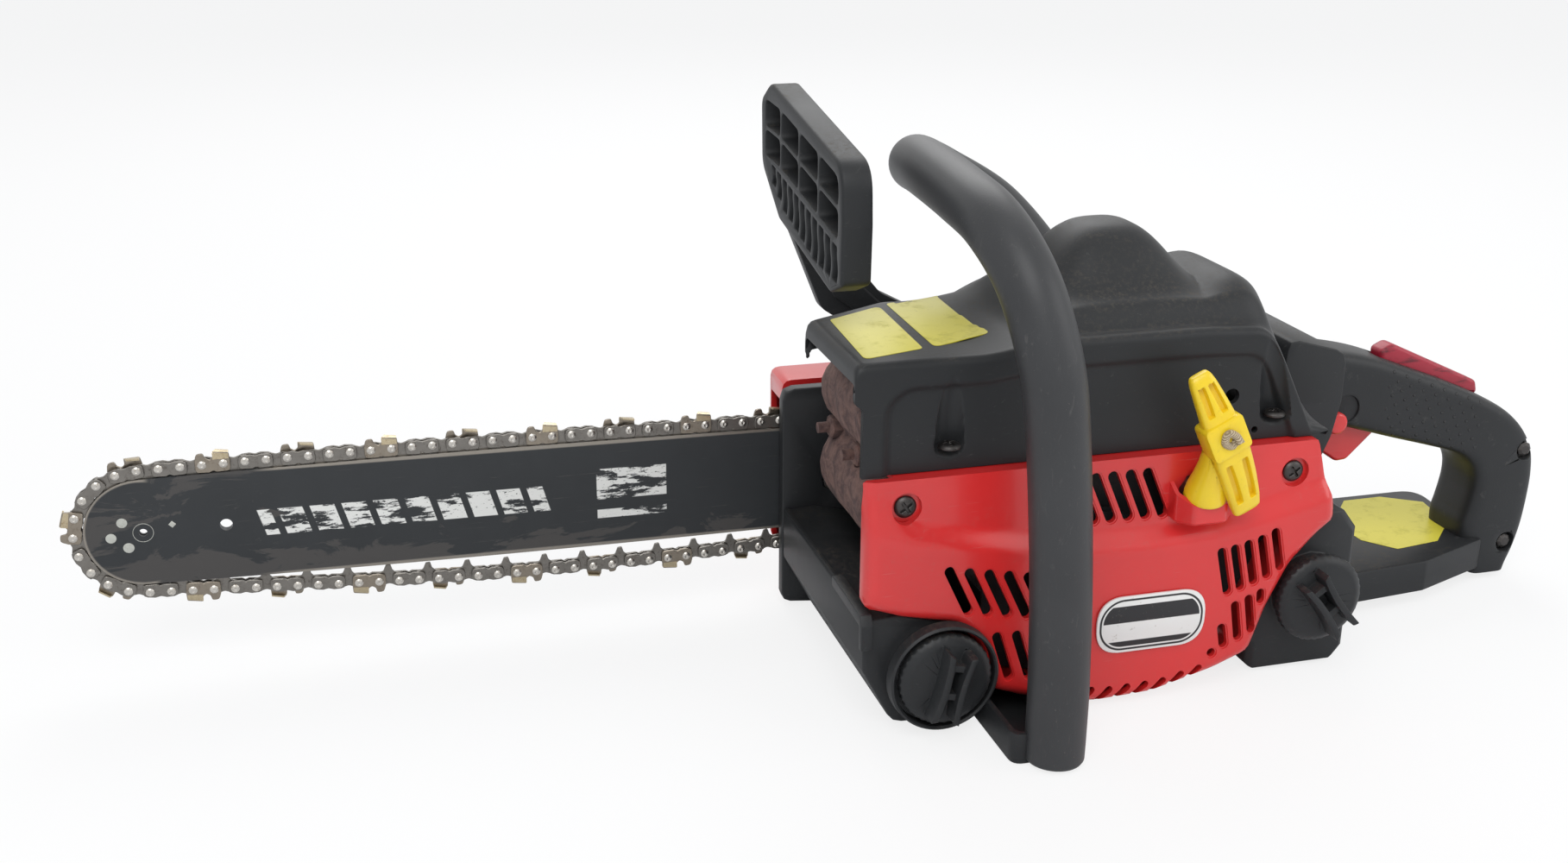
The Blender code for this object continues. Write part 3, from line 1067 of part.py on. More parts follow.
def starter():
    centre = (CRANK_X, CRANK_Z)
    groove = [
        (6.0, 0.0), (6.0, 8.0), (PULLEY_R + 4.0, 8.0), (PULLEY_R + 4.0, 6.6), (PULLEY_R - 3.0, 6.0), (PULLEY_R - 3.0, 2.0),
        (PULLEY_R + 4.0, 1.4), (PULLEY_R + 4.0, 0.0), (6.0, 0.0),
    ]
    pulley = turned("starter_pulley", groove, xy(centre, -76.5), (0, 1, 0), "yellow_plastic", 20)
    hold_on("pulley_axis", xy(centre, -72.0), pulley)
    turned(
        "pulley_post",
        [(0.0, 12.0), (9.0, 12.0), (9.0, 10.6), (5.6, 10.6), (5.6, -2.2), (0.0, -2.2)],
        xy(centre, -78.4), (0, 1, 0), "cast_metal", 16,
    )
    start = ROPE_EXIT - PULL_WAY * 3.0
    rope = rod("starter_rope", start, ROPE_EXIT + PULL_WAY * 9.0, ROPE_R, "rope", 8)
    turned(
        "rope_guide",
        [(3.0, 0.0), (3.0, 6.5), (6.5, 7.5), (8.5, 5.0), (8.5, 0.0), (3.0, 0.0)],
        ROPE_EXIT - PULL_WAY * 3.0, PULL_WAY, "dark_steel", 14,
    )
    grip_at = ROPE_EXIT + PULL_WAY * 6.0
    stem = turned(
        "starter_grip",
        [(0.0, 20.0), (6.0, 20.0), (7.0, 14.0), (11.0, 2.0), (11.0, 0.0), (3.0, 0.0), (3.0, 12.0), (0.0, 12.0)],
        grip_at, PULL_WAY, "yellow_plastic", 14,
    )
    along = Vector((-0.42, 0.0, 0.90)).normalized()
    middle = grip_at + PULL_WAY * 22.0
    stations = [(-36.0, 3.0, 4.0), (-32.0, 6.5, 7.5), (-15.0, 8.0, 12.0), (0.0, 8.5, 15.0), (15.0, 8.0, 12.0), (36.0, 6.5, 8.0), (41.0, 3.0, 4.5)]
    side = along.cross(PULL_WAY).normalized()
    up = side.cross(along).normalized()
    rings = []
    for distance, thick, wide in stations:
        bow = up * (distance / 38.0) ** 2 * 5.0
        ring = [middle + along * distance + bow + side * wide / 2 * math.cos(a) + up * thick / 2 * math.sin(a) for a in np.linspace(0, 2 * np.pi, 10, endpoint=False)]
        rings.append([tuple(p) for p in ring])
    join(stem, skin("grip_bar", rings))
    pocket = middle + up * 4.5
    cut(stem, rod("knot_pocket", pocket - up * 4.0, pocket + up * 8.0, 4.6, sides=12))
    knot = rod("rope_knot", pocket - up * 3.7, pocket + up * 1.0, 4.0, "rope", 10)
    hold_on("grip_axis", grip_at, stem, knot)


def badge():
    centre = (24.0, 43.0)
    outline = rounded([(centre[0] - 27, centre[1] - 14, 13), (centre[0] + 27, centre[1] - 14, 13), (centre[0] + 27, centre[1] + 14, 13), (centre[0] - 27, centre[1] + 14, 13)], 6)
    plate("badge_plate", outline, BULGE_Y - 1.6, BULGE_Y - GAP, "badge")


# ---------------------------------------------------------------- run


def main():
    clear_scene()
    rivets = bar_and_chain()
    clutch(rivets)
    engine()
    chassis()
    tanks()
    filler_cap("oil_cap", OIL_CAP, -90.3)
    filler_cap("fuel_cap", FUEL_CAP, -83.3)
    starter_housing()
    top_cover()
    clutch_cover()
    casing_screws()
    front_handle()
    guard()
    rear_handle()
    starter()
    badge()


main()
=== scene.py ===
"""The looks of a petrol chainsaw, laid out as a Blender add-on and run as a script round its packed frame."""

import json
import math

import bmesh
import bpy
import numpy as np
from mathutils import Matrix, Vector

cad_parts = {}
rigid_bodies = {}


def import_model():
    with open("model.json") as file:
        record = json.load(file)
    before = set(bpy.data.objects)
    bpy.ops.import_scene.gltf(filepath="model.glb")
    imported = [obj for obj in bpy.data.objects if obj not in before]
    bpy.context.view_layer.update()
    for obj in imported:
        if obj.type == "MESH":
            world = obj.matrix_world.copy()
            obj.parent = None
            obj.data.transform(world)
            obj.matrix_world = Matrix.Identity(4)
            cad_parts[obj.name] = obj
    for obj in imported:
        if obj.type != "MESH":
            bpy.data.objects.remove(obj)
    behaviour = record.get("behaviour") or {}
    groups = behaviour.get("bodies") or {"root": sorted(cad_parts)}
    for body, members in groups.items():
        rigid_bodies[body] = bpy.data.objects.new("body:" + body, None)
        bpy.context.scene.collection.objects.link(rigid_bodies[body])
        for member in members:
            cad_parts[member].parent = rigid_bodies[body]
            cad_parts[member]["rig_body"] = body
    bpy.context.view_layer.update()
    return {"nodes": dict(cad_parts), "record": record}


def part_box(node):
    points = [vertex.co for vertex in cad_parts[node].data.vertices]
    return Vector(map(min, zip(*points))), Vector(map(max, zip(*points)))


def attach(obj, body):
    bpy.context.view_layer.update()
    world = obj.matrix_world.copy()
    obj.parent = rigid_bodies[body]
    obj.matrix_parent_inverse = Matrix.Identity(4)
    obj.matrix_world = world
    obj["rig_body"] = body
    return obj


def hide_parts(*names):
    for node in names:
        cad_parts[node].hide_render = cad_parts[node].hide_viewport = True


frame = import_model()

bl_info = {
    "name": "Chainsaw looks",
    "version": (1, 0, 0),
    "blender": (4, 5, 0),
    "location": "View3D > Sidebar > Chainsaw",
    "description": "Surfaces and finishes of a petrol chainsaw",
    "category": "Object",
}

MM = 0.001

# Numbers shared with the solids, in millimetres.
RIVET_PITCH = 9.525
LINK_PAIRS = 52
SPROCKET_TEETH = 6
NOSE_TEETH = 10
RIVET_ABOVE_BAR = 4.35
CUTTER_PHASE = 3
BAR_Y = 62.0
BAR_HALF = 27.0
BAR_BOW = 0.9
BAR_RISE = math.radians(0.7)
BAR_TAIL = 33.0
BAR_SHOULDER = 100.0
RAIL = 2.1
GROOVE = 0.75
GROOVE_DEPTH = 6.5
STUDS = (58.0, 88.0)
CRANK_X, CRANK_Z = 3.0, 67.0
WALL = 3.0
SEAM_Z = 121.0
LEFT_Y = -84.0
BULGE_Y = -90.0
COVER_LEFT = -80.0
COVER_RIGHT = 36.0
TUBE_R = 13.2
GRIP_LEFT, GRIP_RIGHT = -13.0, 21.0
GRIP_MIDDLE = 4.0
STOP_BUTTON = (156.0, 102.0)
CHOKE_HOLE = (62.0, 143.0)
OIL_CAP = (-76.0, 29.0)
FUEL_CAP = (112.5, 42.0)
CAP_R = 21.5
NECK_R = 15.0
BADGE = (24.0, 43.0)

# The visible pieces' own sizes, in millimetres, as the picture shows them.
CHAIN_SAG = 6.6
LIP = 4.0
STEM_BASE = (45.0, -91.0, 102.0)
GRIP_CENTRE = (43.8, -102.5, 135.5)
HOUSING_MIDDLE, HOUSING_ROLL = (8.0, 76.0), 6.0
CLUTCH_MIDDLE, CLUTCH_ROLL, CLUTCH_FACE = (-14.0, 66.0), 5.0, 92.0
POCKET_FLOOR = 2.2
VENT_DEPTH = (-100, -70)
LOW_VENTS, LOW_VENT_PITCH = 8, 9.0
GRIP_SQUARENESS = 0.36

# The camera, in metres and degrees, as the picture was taken.
CAMERA_PLACE = (-0.3274, -0.7268, 0.3907)
CAMERA_AZIMUTH = 15.64
CAMERA_TILT = 19.99
CAMERA_ROLL = 0.31
CAMERA_LENS = 39.63


# ---------------------------------------------------------------- choices


def colour(name, description, default):
    return bpy.props.FloatVectorProperty(
        name=name, description=description, default=default, subtype="COLOR", size=3, min=0.0, max=1.0
    )


class ChainsawSizes(bpy.types.PropertyGroup):
    edge: bpy.props.FloatProperty(
        name="Moulded edge", description="Rounding of the moulded pieces' edges", default=0.6 * MM, unit="LENGTH"
    )
    rivet: bpy.props.FloatProperty(
        name="Rivet head", description="Radius of the chain's rivet heads", default=2.05 * MM, unit="LENGTH"
    )
    label: bpy.props.FloatProperty(
        name="Label", description="Thickness of the stuck-on panels", default=0.2 * MM, unit="LENGTH"
    )
    dust: bpy.props.FloatProperty(
        name="Dust", description="How much sawdust and dirt lies on the casing", default=0.55, min=0.0, max=1.0,
        subtype="FACTOR",
    )


class ChainsawColours(bpy.types.PropertyGroup):
    red: colour("Red", "Housing, controls and clutch cover", (0.72, 0.026, 0.026))
    black: colour("Black", "Cover, chassis, tanks and grip", (0.0180, 0.0190, 0.0202))
    tube: colour("Tube", "Coating of the front handle", (0.037, 0.038, 0.040))
    yellow: colour("Yellow", "Starter grip", (0.86, 0.66, 0.015))
    panel: colour("Panel", "Stuck-on panels", (0.70, 0.62, 0.05))
    paint: colour("Bar paint", "Paint on the guide bar", (0.0225, 0.0245, 0.0265))


def sizes():
    return bpy.context.scene.chainsaw_sizes


def colours():
    return bpy.context.scene.chainsaw_colours


# ---------------------------------------------------------------- shader expressions


class Socket:
    """An output of a material's node. Python's operators on it add Math nodes."""

    def __init__(self, finish, link):
        self.finish = finish
        self.link = link

    def step(self, operation, *others):
        return self.finish.node("ShaderNodeMath", {"operation": operation}, (self, *others))

    def after(self, operation, other):
        return self.finish.node("ShaderNodeMath", {"operation": operation}, (other, self))

    def __add__(self, other):
        return self.step("ADD", other)

    __radd__ = __add__

    def __mul__(self, other):
        return self.step("MULTIPLY", other)

    __rmul__ = __mul__

    def __sub__(self, other):
        return self.step("SUBTRACT", other)

    def __rsub__(self, other):
        return self.after("SUBTRACT", other)

    def __truediv__(self, other):
        return self.step("DIVIDE", other)

    def __abs__(self):
        return self.step("ABSOLUTE")

    def sine(self):
        return self.step("SINE")

    def at_most(self, other):
        return self.step("MINIMUM", other)

    def at_least(self, other):
        return self.step("MAXIMUM", other)


class Finish:
    """A material built from nodes, with object coordinates in metres as its place."""

    def __init__(self, name):
        self.material = bpy.data.materials.new(name)
        self.material.use_nodes = True
        self.tree = self.material.node_tree
        self.shader = self.tree.nodes["Principled BSDF"]
        self.place = self.node("ShaderNodeTexCoord", {}, {}, "Object")

    def node(self, kind, settings, values, output=0):
        """Adds a node: its settings first, then a value or a link for each socket."""
        made = self.tree.nodes.new(kind)
        for key, value in settings.items():
            setattr(made, key, value)
        for key, value in values.items() if isinstance(values, dict) else enumerate(values):
            self.feed(made.inputs[key], value)
        return Socket(self, made.outputs[output])

    def feed(self, socket, value):
        if isinstance(value, Socket):
            self.tree.links.new(value.link, socket)
        elif socket.type == "RGBA" and len(value) == 3:
            socket.default_value = (*value, 1.0)
        else:
            socket.default_value = value

    def axes(self, place=None):
        """The three coordinates as values."""
        parts = self.tree.nodes.new("ShaderNodeSeparateXYZ")
        self.feed(parts.inputs[0], place or self.place)
        return [Socket(self, out) for out in parts.outputs]

    def moved(self, location=(0, 0, 0), turn=(0, 0, 0), scale=(1, 1, 1)):
        return self.node(
            "ShaderNodeMapping", {}, {"Vector": self.place, "Location": location, "Rotation": turn, "Scale": scale}
        )

    def noise(self, size, detail=3.0, rough=0.55, place=None, bend=0.0):
        """Noise from 0 to 1 whose lumps are size millimetres across."""
        values = {
            "Vector": place or self.place, "Scale": 1.0 / (size * MM), "Detail": detail, "Roughness": rough,
            "Distortion": bend
        }
        return self.node("ShaderNodeTexNoise", {}, values, "Fac")

    def cells(self, size, place=None, feature="F1"):
        """Distance to the nearest of points about size millimetres apart, in cells."""
        return self.node(
            "ShaderNodeTexVoronoi", {"feature": feature},
            {"Vector": place or self.place, "Scale": 1.0 / (size * MM)}, "Distance"
        )

    def between(self, value, low, high):
        """0 below low, 1 above high and smooth between."""
        return self.node(
            "ShaderNodeMapRange", {"interpolation_type": "SMOOTHSTEP"},
            {"Value": value, "From Min": low, "From Max": high}
        )

    def band(self, value, low, high, soft):
        """1 between low and high and 0 outside, with soft edges."""
        return self.between(value, low - soft, low + soft) * (1.0 - self.between(value, high - soft, high + soft))

    def mix(self, first, second, mask):
        """The first colour where the mask is 0 and the second where it is 1."""
        return self.node("ShaderNodeMix", {"data_type": "RGBA"}, {0: mask, 6: first, 7: second}, 2)

    def up(self):
        """How much a surface faces upwards, from 0 to 1."""
        normal = self.node("ShaderNodeNewGeometry", {}, {}, "Normal")
        return self.axes(normal)[2].at_least(0.0)

    def bump(self, height, depth, under=None):
        """A bump of a height from 0 to 1, its depth in millimetres."""
        values = {"Height": height, "Distance": depth * MM, "Strength": 1.0}
        if under is not None:
            values["Normal"] = under
        return self.node("ShaderNodeBump", {}, values)

    def shade(self, **values):
        """Feeds the shader. Underscores in a name stand for spaces."""
        for key, value in values.items():
            self.feed(self.shader.inputs[key.replace("_", " ").title().replace("Ior", "IOR")], value)
        return self.material


FINISHES = {}


def finish(build):
    """Keeps each finish after it is first made."""

    def once(*choices):
        key = (build.__name__, *choices)
        if key not in FINISHES:
            FINISHES[key] = build(*choices)
        return FINISHES[key]

    return once


@finish
def moulded_black(gloss=0.44):
    """Dark moulded plastic: fine grain, scuffs, and pale dust on what faces up."""
    f = Finish(f"moulded_black_{gloss:.2f}")
    broad = f.noise(55, 3)
    scuff = f.between(f.noise(9, 6, 0.75, f.moved(scale=(1, 1, 2.6)), 1.5), 0.60, 0.72)
    dust = f.between(f.noise(2.2, 5, 0.7), 0.45, 0.75) * f.between(f.up(), 0.35, 0.95) * f.between(broad, 0.38, 0.62)
    dark = tuple(colours().black)
    base = f.mix(dark, tuple(c * 1.35 for c in dark), broad)
    base = f.mix(base, (0.085, 0.083, 0.080), scuff * 0.45)
    base = f.mix(base, (0.16, 0.13, 0.095), dust * sizes().dust * 0.55)
    grain = f.bump(f.noise(0.7, 2), 0.035)
    wave = f.bump(f.noise(14, 2), 0.10, grain)
    roughness = gloss + scuff * 0.12 + dust * 0.2 + broad * 0.08 - 0.04
    return f.shade(base_color=base, roughness=roughness, specular_ior_level=0.26, normal=wave)


@finish
def moulded_red():
    """Glossy red plastic, faded in patches, with fine scratches and a dusty film."""
    f = Finish("moulded_red")
    broad = f.noise(60, 4, 0.6)
    scratch = f.between(f.noise(3.0, 3, 0.6, f.moved(turn=(0, 0.5, 0), scale=(0.12, 1, 2.4))), 0.66, 0.72)
    fleck = f.between(f.noise(1.3, 2, 0.6), 0.73, 0.78)
    dust = f.between(f.noise(3.0, 6, 0.72), 0.50, 0.78) * f.between(broad, 0.42, 0.62)
    red = tuple(colours().red)
    base = f.mix(red, tuple(c * 0.78 for c in red), broad)
    base = f.mix(base, (0.60, 0.13, 0.12), scratch * 0.35)
    base = f.mix(base, (0.30, 0.16, 0.12), dust * sizes().dust * 0.30 + fleck * 0.35)
    ripple = f.bump(f.noise(22, 2), 0.12, f.bump(scratch, 0.02))
    return f.shade(
        base_color=base, roughness=0.27 + dust * 0.20 + scratch * 0.15 + broad * 0.06, normal=ripple,
        coat_weight=0.25, coat_roughness=0.12,
    )


@finish
def worn_red():
    """The lock-out's dark red plastic, rubbed black in streaks along it."""
    f = Finish("worn_red")
    streak = f.between(f.noise(9, 5, 0.7, f.moved(turn=(0, 0.45, 0), scale=(0.4, 1, 1.6))), 0.50, 0.66)
    base = f.mix((0.36, 0.014, 0.034), (0.045, 0.012, 0.016), streak * 0.75)
    return f.shade(base_color=base, roughness=0.40 + streak * 0.2, normal=f.bump(streak, 0.05))


@finish
def coated_tube():
    """The front handle's charcoal coating: a soft sheen, rubbed streaks and small nicks."""
    f = Finish("coated_tube")
    streak = f.between(f.noise(5, 6, 0.78, f.moved(scale=(1, 1, 0.35)), 2.0), 0.56, 0.74)
    nick = f.between(f.noise(1.8, 3, 0.7), 0.70, 0.76)
    broad = f.noise(40, 3)
    dark = tuple(colours().tube)
    base = f.mix(tuple(c * 0.80 for c in dark), tuple(c * 1.25 for c in dark), broad)
    base = f.mix(base, (0.13, 0.125, 0.12), streak * 0.42)
    base = f.mix(base, (0.20, 0.17, 0.14), nick * 0.5)
    skin = f.bump(f.noise(0.8, 2), 0.04, f.bump(nick, -0.12))
    return f.shade(
        base_color=base, roughness=0.40 + streak * 0.16 + broad * 0.08, specular_ior_level=0.34, normal=skin
    )


@finish
def moulded_yellow():
    f = Finish("moulded_yellow")
    broad = f.noise(14, 4, 0.6)
    grime = f.between(f.noise(3.2, 6, 0.75), 0.55, 0.80)
    yellow = tuple(colours().yellow)
    base = f.mix(yellow, (yellow[0], yellow[1] * 0.86, yellow[2]), broad)
    base = f.mix(base, (0.34, 0.24, 0.05), grime * 0.40)
    return f.shade(
        base_color=base, roughness=0.34 + grime * 0.25, normal=f.bump(f.noise(1.0, 2), 0.03), coat_weight=0.1
    )


@finish
def steel(name, base, rough, stain, grain):
    """Worn steel: two tones of oxide and oil, and a fine grain across it."""
    f = Finish(name)
    broad = f.noise(6, 5, 0.65)
    spots = f.between(f.noise(1.6, 5, 0.75), 0.52, 0.72)
    tone = f.mix(base, tuple(c * 0.62 for c in base), broad)
    tone = f.mix(tone, stain, spots * 0.75)
    lines = f.noise(0.5, 2, 0.5, f.moved(scale=(0.06, 1, 1)))
    return f.shade(
        base_color=tone, metallic=0.95 - spots * 0.45, roughness=rough + spots * 0.25 + broad * 0.10 - 0.05,
        normal=f.bump(lines, grain, f.bump(broad, 0.05)),
    )


def bright_steel():
    return steel("bright_steel", (0.60, 0.59, 0.57), 0.28, (0.22, 0.17, 0.12), 0.02)


def dark_steel():
    return steel("dark_steel", (0.085, 0.080, 0.078), 0.42, (0.05, 0.035, 0.028), 0.03)


def chain_steel():
    return steel("chain_steel", (0.24, 0.225, 0.205), 0.36, (0.075, 0.060, 0.048), 0.03)


def rivet_steel():
    return steel("rivet_steel", (0.66, 0.63, 0.58), 0.30, (0.24, 0.18, 0.12), 0.02)


def cutter_steel():
    return steel("cutter_steel", (0.31, 0.27, 0.22), 0.32, (0.13, 0.090, 0.060), 0.02)


def nose_steel():
    return steel("nose_steel", (0.62, 0.63, 0.58), 0.50, (0.34, 0.31, 0.26), 0.02)


def plated_steel():
    return steel("plated_steel", (0.58, 0.49, 0.33), 0.28, (0.26, 0.17, 0.09), 0.02)


def cast_metal():
    return steel("cast_metal", (0.50, 0.50, 0.50), 0.50, (0.16, 0.13, 0.10), 0.10)


@finish
def rusted():
    """A muffler's scale: mauve-brown rust in lumps, with soot and paler powder."""
    f = Finish("rusted")
    lumps = f.noise(8, 7, 0.72, None, 0.6)
    pits = f.cells(2.6)
    base = f.mix((0.085, 0.052, 0.050), (0.21, 0.125, 0.105), f.between(lumps, 0.35, 0.66))
    base = f.mix(base, (0.27, 0.145, 0.085), f.between(f.noise(3.0, 6, 0.8), 0.58, 0.74) * 0.6)
    base = f.mix(base, (0.045, 0.038, 0.038), f.between(f.noise(26, 3), 0.55, 0.75) * 0.6)
    rough = f.bump(pits, 0.25, f.bump(lumps, 0.7))
    return f.shade(base_color=base, roughness=0.84, metallic=0.18, normal=rough)


@finish
def twisted_cord():
    f = Finish("twisted_cord")
    x, y, z = f.axes()
    strand = ((x * 0.9 + y * 0.5 - z * 1.1) * 5200.0).sine() * 0.5 + 0.5
    # Painted shade and light: the cord is darker in the grooves between strands and lighter on their crowns,
    # following the bump.
    base = f.mix((0.30, 0.22, 0.13), (0.66, 0.55, 0.38), strand)
    base = f.mix(base, (0.20, 0.14, 0.08), f.between(f.noise(2.4, 4), 0.55, 0.75) * 0.6)
    return f.shade(base_color=base, roughness=0.88, normal=f.bump(strand, 0.25, f.bump(f.noise(0.25, 2), 0.1)))


@finish
def pleated_filter():
    f = Finish("pleated_filter")
    x, _, _ = f.axes()
    pleat = (x * 2100.0).sine() * 0.5 + 0.5
    # Painted shade and light: the pleats are darker in their folds and lighter on their crests, following the bump.
    base = f.mix((0.20, 0.17, 0.12), (0.55, 0.50, 0.40), pleat)
    base = f.mix(base, (0.12, 0.09, 0.06), f.between(f.noise(5, 5), 0.48, 0.72) * 0.8)
    return f.shade(base_color=base, roughness=0.95, normal=f.bump(pleat, 0.8, f.bump(f.noise(0.5, 2), 0.15)))


@finish
def glazed_ceramic():
    f = Finish("glazed_ceramic")
    base = f.mix((0.80, 0.79, 0.74), (0.45, 0.36, 0.24), f.between(f.noise(4, 5), 0.55, 0.78) * 0.7)
    return f.shade(base_color=base, roughness=0.22 + f.noise(3, 2) * 0.1, normal=f.bump(f.noise(1.5, 2), 0.03))


@finish
def stuck_panel():
    """A plain printed panel: yellow film with rubbed corners and a brownish stain."""
    f = Finish("stuck_panel")
    yellow = tuple(colours().panel)
    stain = f.between(f.noise(12, 5, 0.7), 0.50, 0.74)
    fleck = f.between(f.noise(1.6, 4, 0.7), 0.66, 0.72)
    base = f.mix(yellow, tuple(c * 0.74 for c in yellow), stain)
    base = f.mix(base, (0.10, 0.09, 0.055), fleck * 0.8)
    return f.shade(base_color=base, roughness=0.36 + stain * 0.2 + fleck * 0.2, normal=f.bump(f.noise(6, 2), 0.04))


@finish
def badge_print():
    """The badge's plain bands: silver with a dark upper field and a dark foot, inside a dark rim."""
    f = Finish("badge_print")
    x, _, z = f.axes()
    wide, tall, turn = 26.0 * MM, 13.0 * MM, 12.0 * MM
    side = (abs(x - BADGE[0] * MM) - (wide - turn)).at_least(0.0)
    over = (abs(z - BADGE[1] * MM) - (tall - turn)).at_least(0.0)
    reach = (side * side + over * over).step("SQRT")
    rim = f.between(reach, turn - 1.5 * MM, turn - 1.2 * MM) * (
        1.0 - f.between(reach, turn - 0.5 * MM, turn - 0.2 * MM)
    )
    level = z - BADGE[1] * MM
    upper = f.band(level, 1.0 * MM, 9.2 * MM, 0.15 * MM)
    foot = f.band(level, -12.0 * MM, -8.2 * MM, 0.15 * MM)
    inside = 1.0 - f.between(reach, turn - 2.2 * MM, turn - 2.0 * MM)
    dark = (inside * (upper + foot) + rim).at_most(1.0)
    base = f.mix((0.78, 0.78, 0.76), (0.022, 0.022, 0.024), dark)
    base = f.mix(base, (0.28, 0.25, 0.20), f.between(f.noise(2.5, 5, 0.7), 0.62, 0.75) * 0.5)
    return f.shade(base_color=base, roughness=0.25 + f.noise(5, 3) * 0.15, metallic=0.25, normal=f.bump(dark, 0.05))


@finish
def bar_paint():
    """The bar's black paint, rubbed down to brown along its nose and lower edge, steel at the rails, and a
    worn pale print of plain slanted stripes."""
    f = Finish("bar_paint")
    x, _, z = f.axes()
    along = (CRANK_X * MM - x) / (412.0 * MM)
    middle = CRANK_Z * MM + (CRANK_X * MM - x) * math.tan(BAR_RISE)
    across = z - middle
    paint = tuple(colours().paint)
    patch = f.noise(26, 6, 0.62, f.moved(scale=(0.6, 1, 1.6)), 0.8)
    low = f.between(0.0 - across, 4.0 * MM, 26.0 * MM) * 0.22 + f.between(along, 0.55, 1.02) * 0.16
    worn = f.between(patch + low, 0.70, 0.74)
    scratch = f.between(f.noise(2.0, 4, 0.7, f.moved(turn=(0, 0.15, 0), scale=(0.05, 1, 1.6))), 0.63, 0.70)
    base = f.mix(paint, tuple(c * 1.5 for c in paint), f.noise(30, 4))
    base = f.mix(base, (0.062, 0.059, 0.057), worn)
    base = f.mix(base, (0.12, 0.11, 0.10), scratch * 0.30)
    lean = x + across * 0.28
    gaps = f.between((lean * 430.0).sine(), -0.80, -0.72)
    first = f.band(lean, -362.0 * MM, -228.0 * MM, 0.3 * MM) * f.band(across, -6.5 * MM, 6.5 * MM, 0.2 * MM) * gaps
    block = f.band(x, -203.0 * MM, -168.0 * MM, 0.2 * MM)
    second = block * (
        f.band(across, -3.0 * MM, 13.0 * MM, 0.2 * MM) + f.band(across, -13.0 * MM, -8.5 * MM, 0.2 * MM)
    )
    rubbed = f.between(f.noise(7, 6, 0.70, f.moved(scale=(0.35, 1, 1.5))), 0.44, 0.49)
    keep = f.between(f.noise(1.1, 3, 0.6, f.moved(scale=(0.5, 1, 1))), 0.30, 0.38)
    print_mask = (first + second) * rubbed * keep
    base = f.mix(base, (0.74, 0.74, 0.71), print_mask)
    half = BAR_HALF * MM
    reach = x + (NOSE - CRANK_X) * MM
    far = (reach * reach + across * across).step("SQRT")
    round_end = f.between(
        far, (nose_radius() - RIVET_ABOVE_BAR - 1.5) * MM, (nose_radius() - RIVET_ABOVE_BAR - 0.6) * MM
    )
    edge = f.between(abs(across), half - 1.5 * MM, half - 0.7 * MM) * (1.0 - f.between(along, 0.86, 0.90))
    edge = (edge + round_end * f.between(along, 1.0, 1.01)).at_most(1.0)
    base = f.mix(base, (0.34, 0.31, 0.27), edge * 0.8)
    roughness = 0.40 + worn * 0.12 + patch * 0.10 - edge * 0.08
    lift = f.bump(patch, 0.04, f.bump(worn, -0.05, f.bump(f.noise(0.6, 2), 0.02)))
    return f.shade(base_color=base, roughness=roughness, metallic=edge * 0.8, specular_ior_level=0.3, normal=lift)


CARRIED = {
    "black_plastic": moulded_black,
    "red_plastic": moulded_red,
    "yellow_plastic": moulded_yellow,
    "rubber": coated_tube,
    "bar_paint": bar_paint,
    "chain_steel": chain_steel,
    "bright_steel": bright_steel,
    "dark_steel": dark_steel,
    "cast_metal": cast_metal,
    "rusty_steel": rusted,
    "rope": twisted_cord,
    "filter": pleated_filter,
    "ceramic": glazed_ceramic,
    "badge": badge_print,
}


# ---------------------------------------------------------------- surfaces


def grid_faces(rows, columns, closed):
    """Quads between neighbours of a grid of points; closed joins the last column to the first."""
    index = np.arange(rows * columns).reshape(rows, columns)
    if closed:
        index = np.hstack([index, index[:, :1]])
    quads = np.stack([index[:-1, :-1], index[:-1, 1:], index[1:, 1:], index[1:, :-1]], axis=-1)
    return quads.reshape(-1, 4)


def surface(name, points, closed=True, ends=True):
    """A mesh through a grid of points in millimetres. Its columns close into rings, and its end rings are filled."""
    points = np.asarray(points, float)
    rows, columns, _ = points.shape
    faces = grid_faces(rows, columns, closed).tolist()
    if ends:
        index = np.arange(rows * columns).reshape(rows, columns)
        faces += [index[0, ::-1].tolist(), index[-1].tolist()]
    return solid(name, points.reshape(-1, 3), faces)


def solid(name, points, faces, turn=True):
    """An object from points in millimetres and faces, doubles merged and faces turned outwards."""
    mesh = bpy.data.meshes.new(name)
    mesh.from_pydata((np.asarray(points) * MM).tolist(), [], faces)
    bm = bmesh.new()
    bm.from_mesh(mesh)
    bmesh.ops.remove_doubles(bm, verts=bm.verts, dist=0.000002)
    bmesh.ops.dissolve_degenerate(bm, edges=bm.edges, dist=0.000001)
    if turn:
        bmesh.ops.recalc_face_normals(bm, faces=bm.faces)
    bm.to_mesh(mesh)
    bm.free()
    obj = bpy.data.objects.new(name, mesh)
    bpy.context.scene.collection.objects.link(obj)
    return obj


def copies(name, rings, placements):
    """Many copies of one small closed shape as a single object. rings are (rings, points, 3) in a link's own
    coordinates, and each placement is an origin with three axes that carry them into the world."""
    rings = np.asarray(rings, float)
    count, around, _ = rings.shape
    origins = np.array([p[0] for p in placements])
    axes = np.array([p[1] for p in placements])
    points = origins[:, None, None, :] + np.einsum("rpk,nkj->nrpj", rings, axes)
    faces = grid_faces(count, around, True)
    step = count * around * np.arange(len(origins))[:, None, None]
    index = np.arange(count * around).reshape(count, around)
    caps = np.stack([index[0, ::-1], index[-1]])
    every = (faces[None] + step).reshape(-1, 4).tolist() + (caps[None] + step).reshape(-1, around).tolist()
    return solid(name, points.reshape(-1, 3), every)


def bake(obj):
    """Applies all of an object's modifiers to its mesh."""
    graph = bpy.context.evaluated_depsgraph_get()
    graph.update()
    made = bpy.data.meshes.new_from_object(obj.evaluated_get(graph))
    obj.modifiers.clear()
    obj.data = made
    return obj


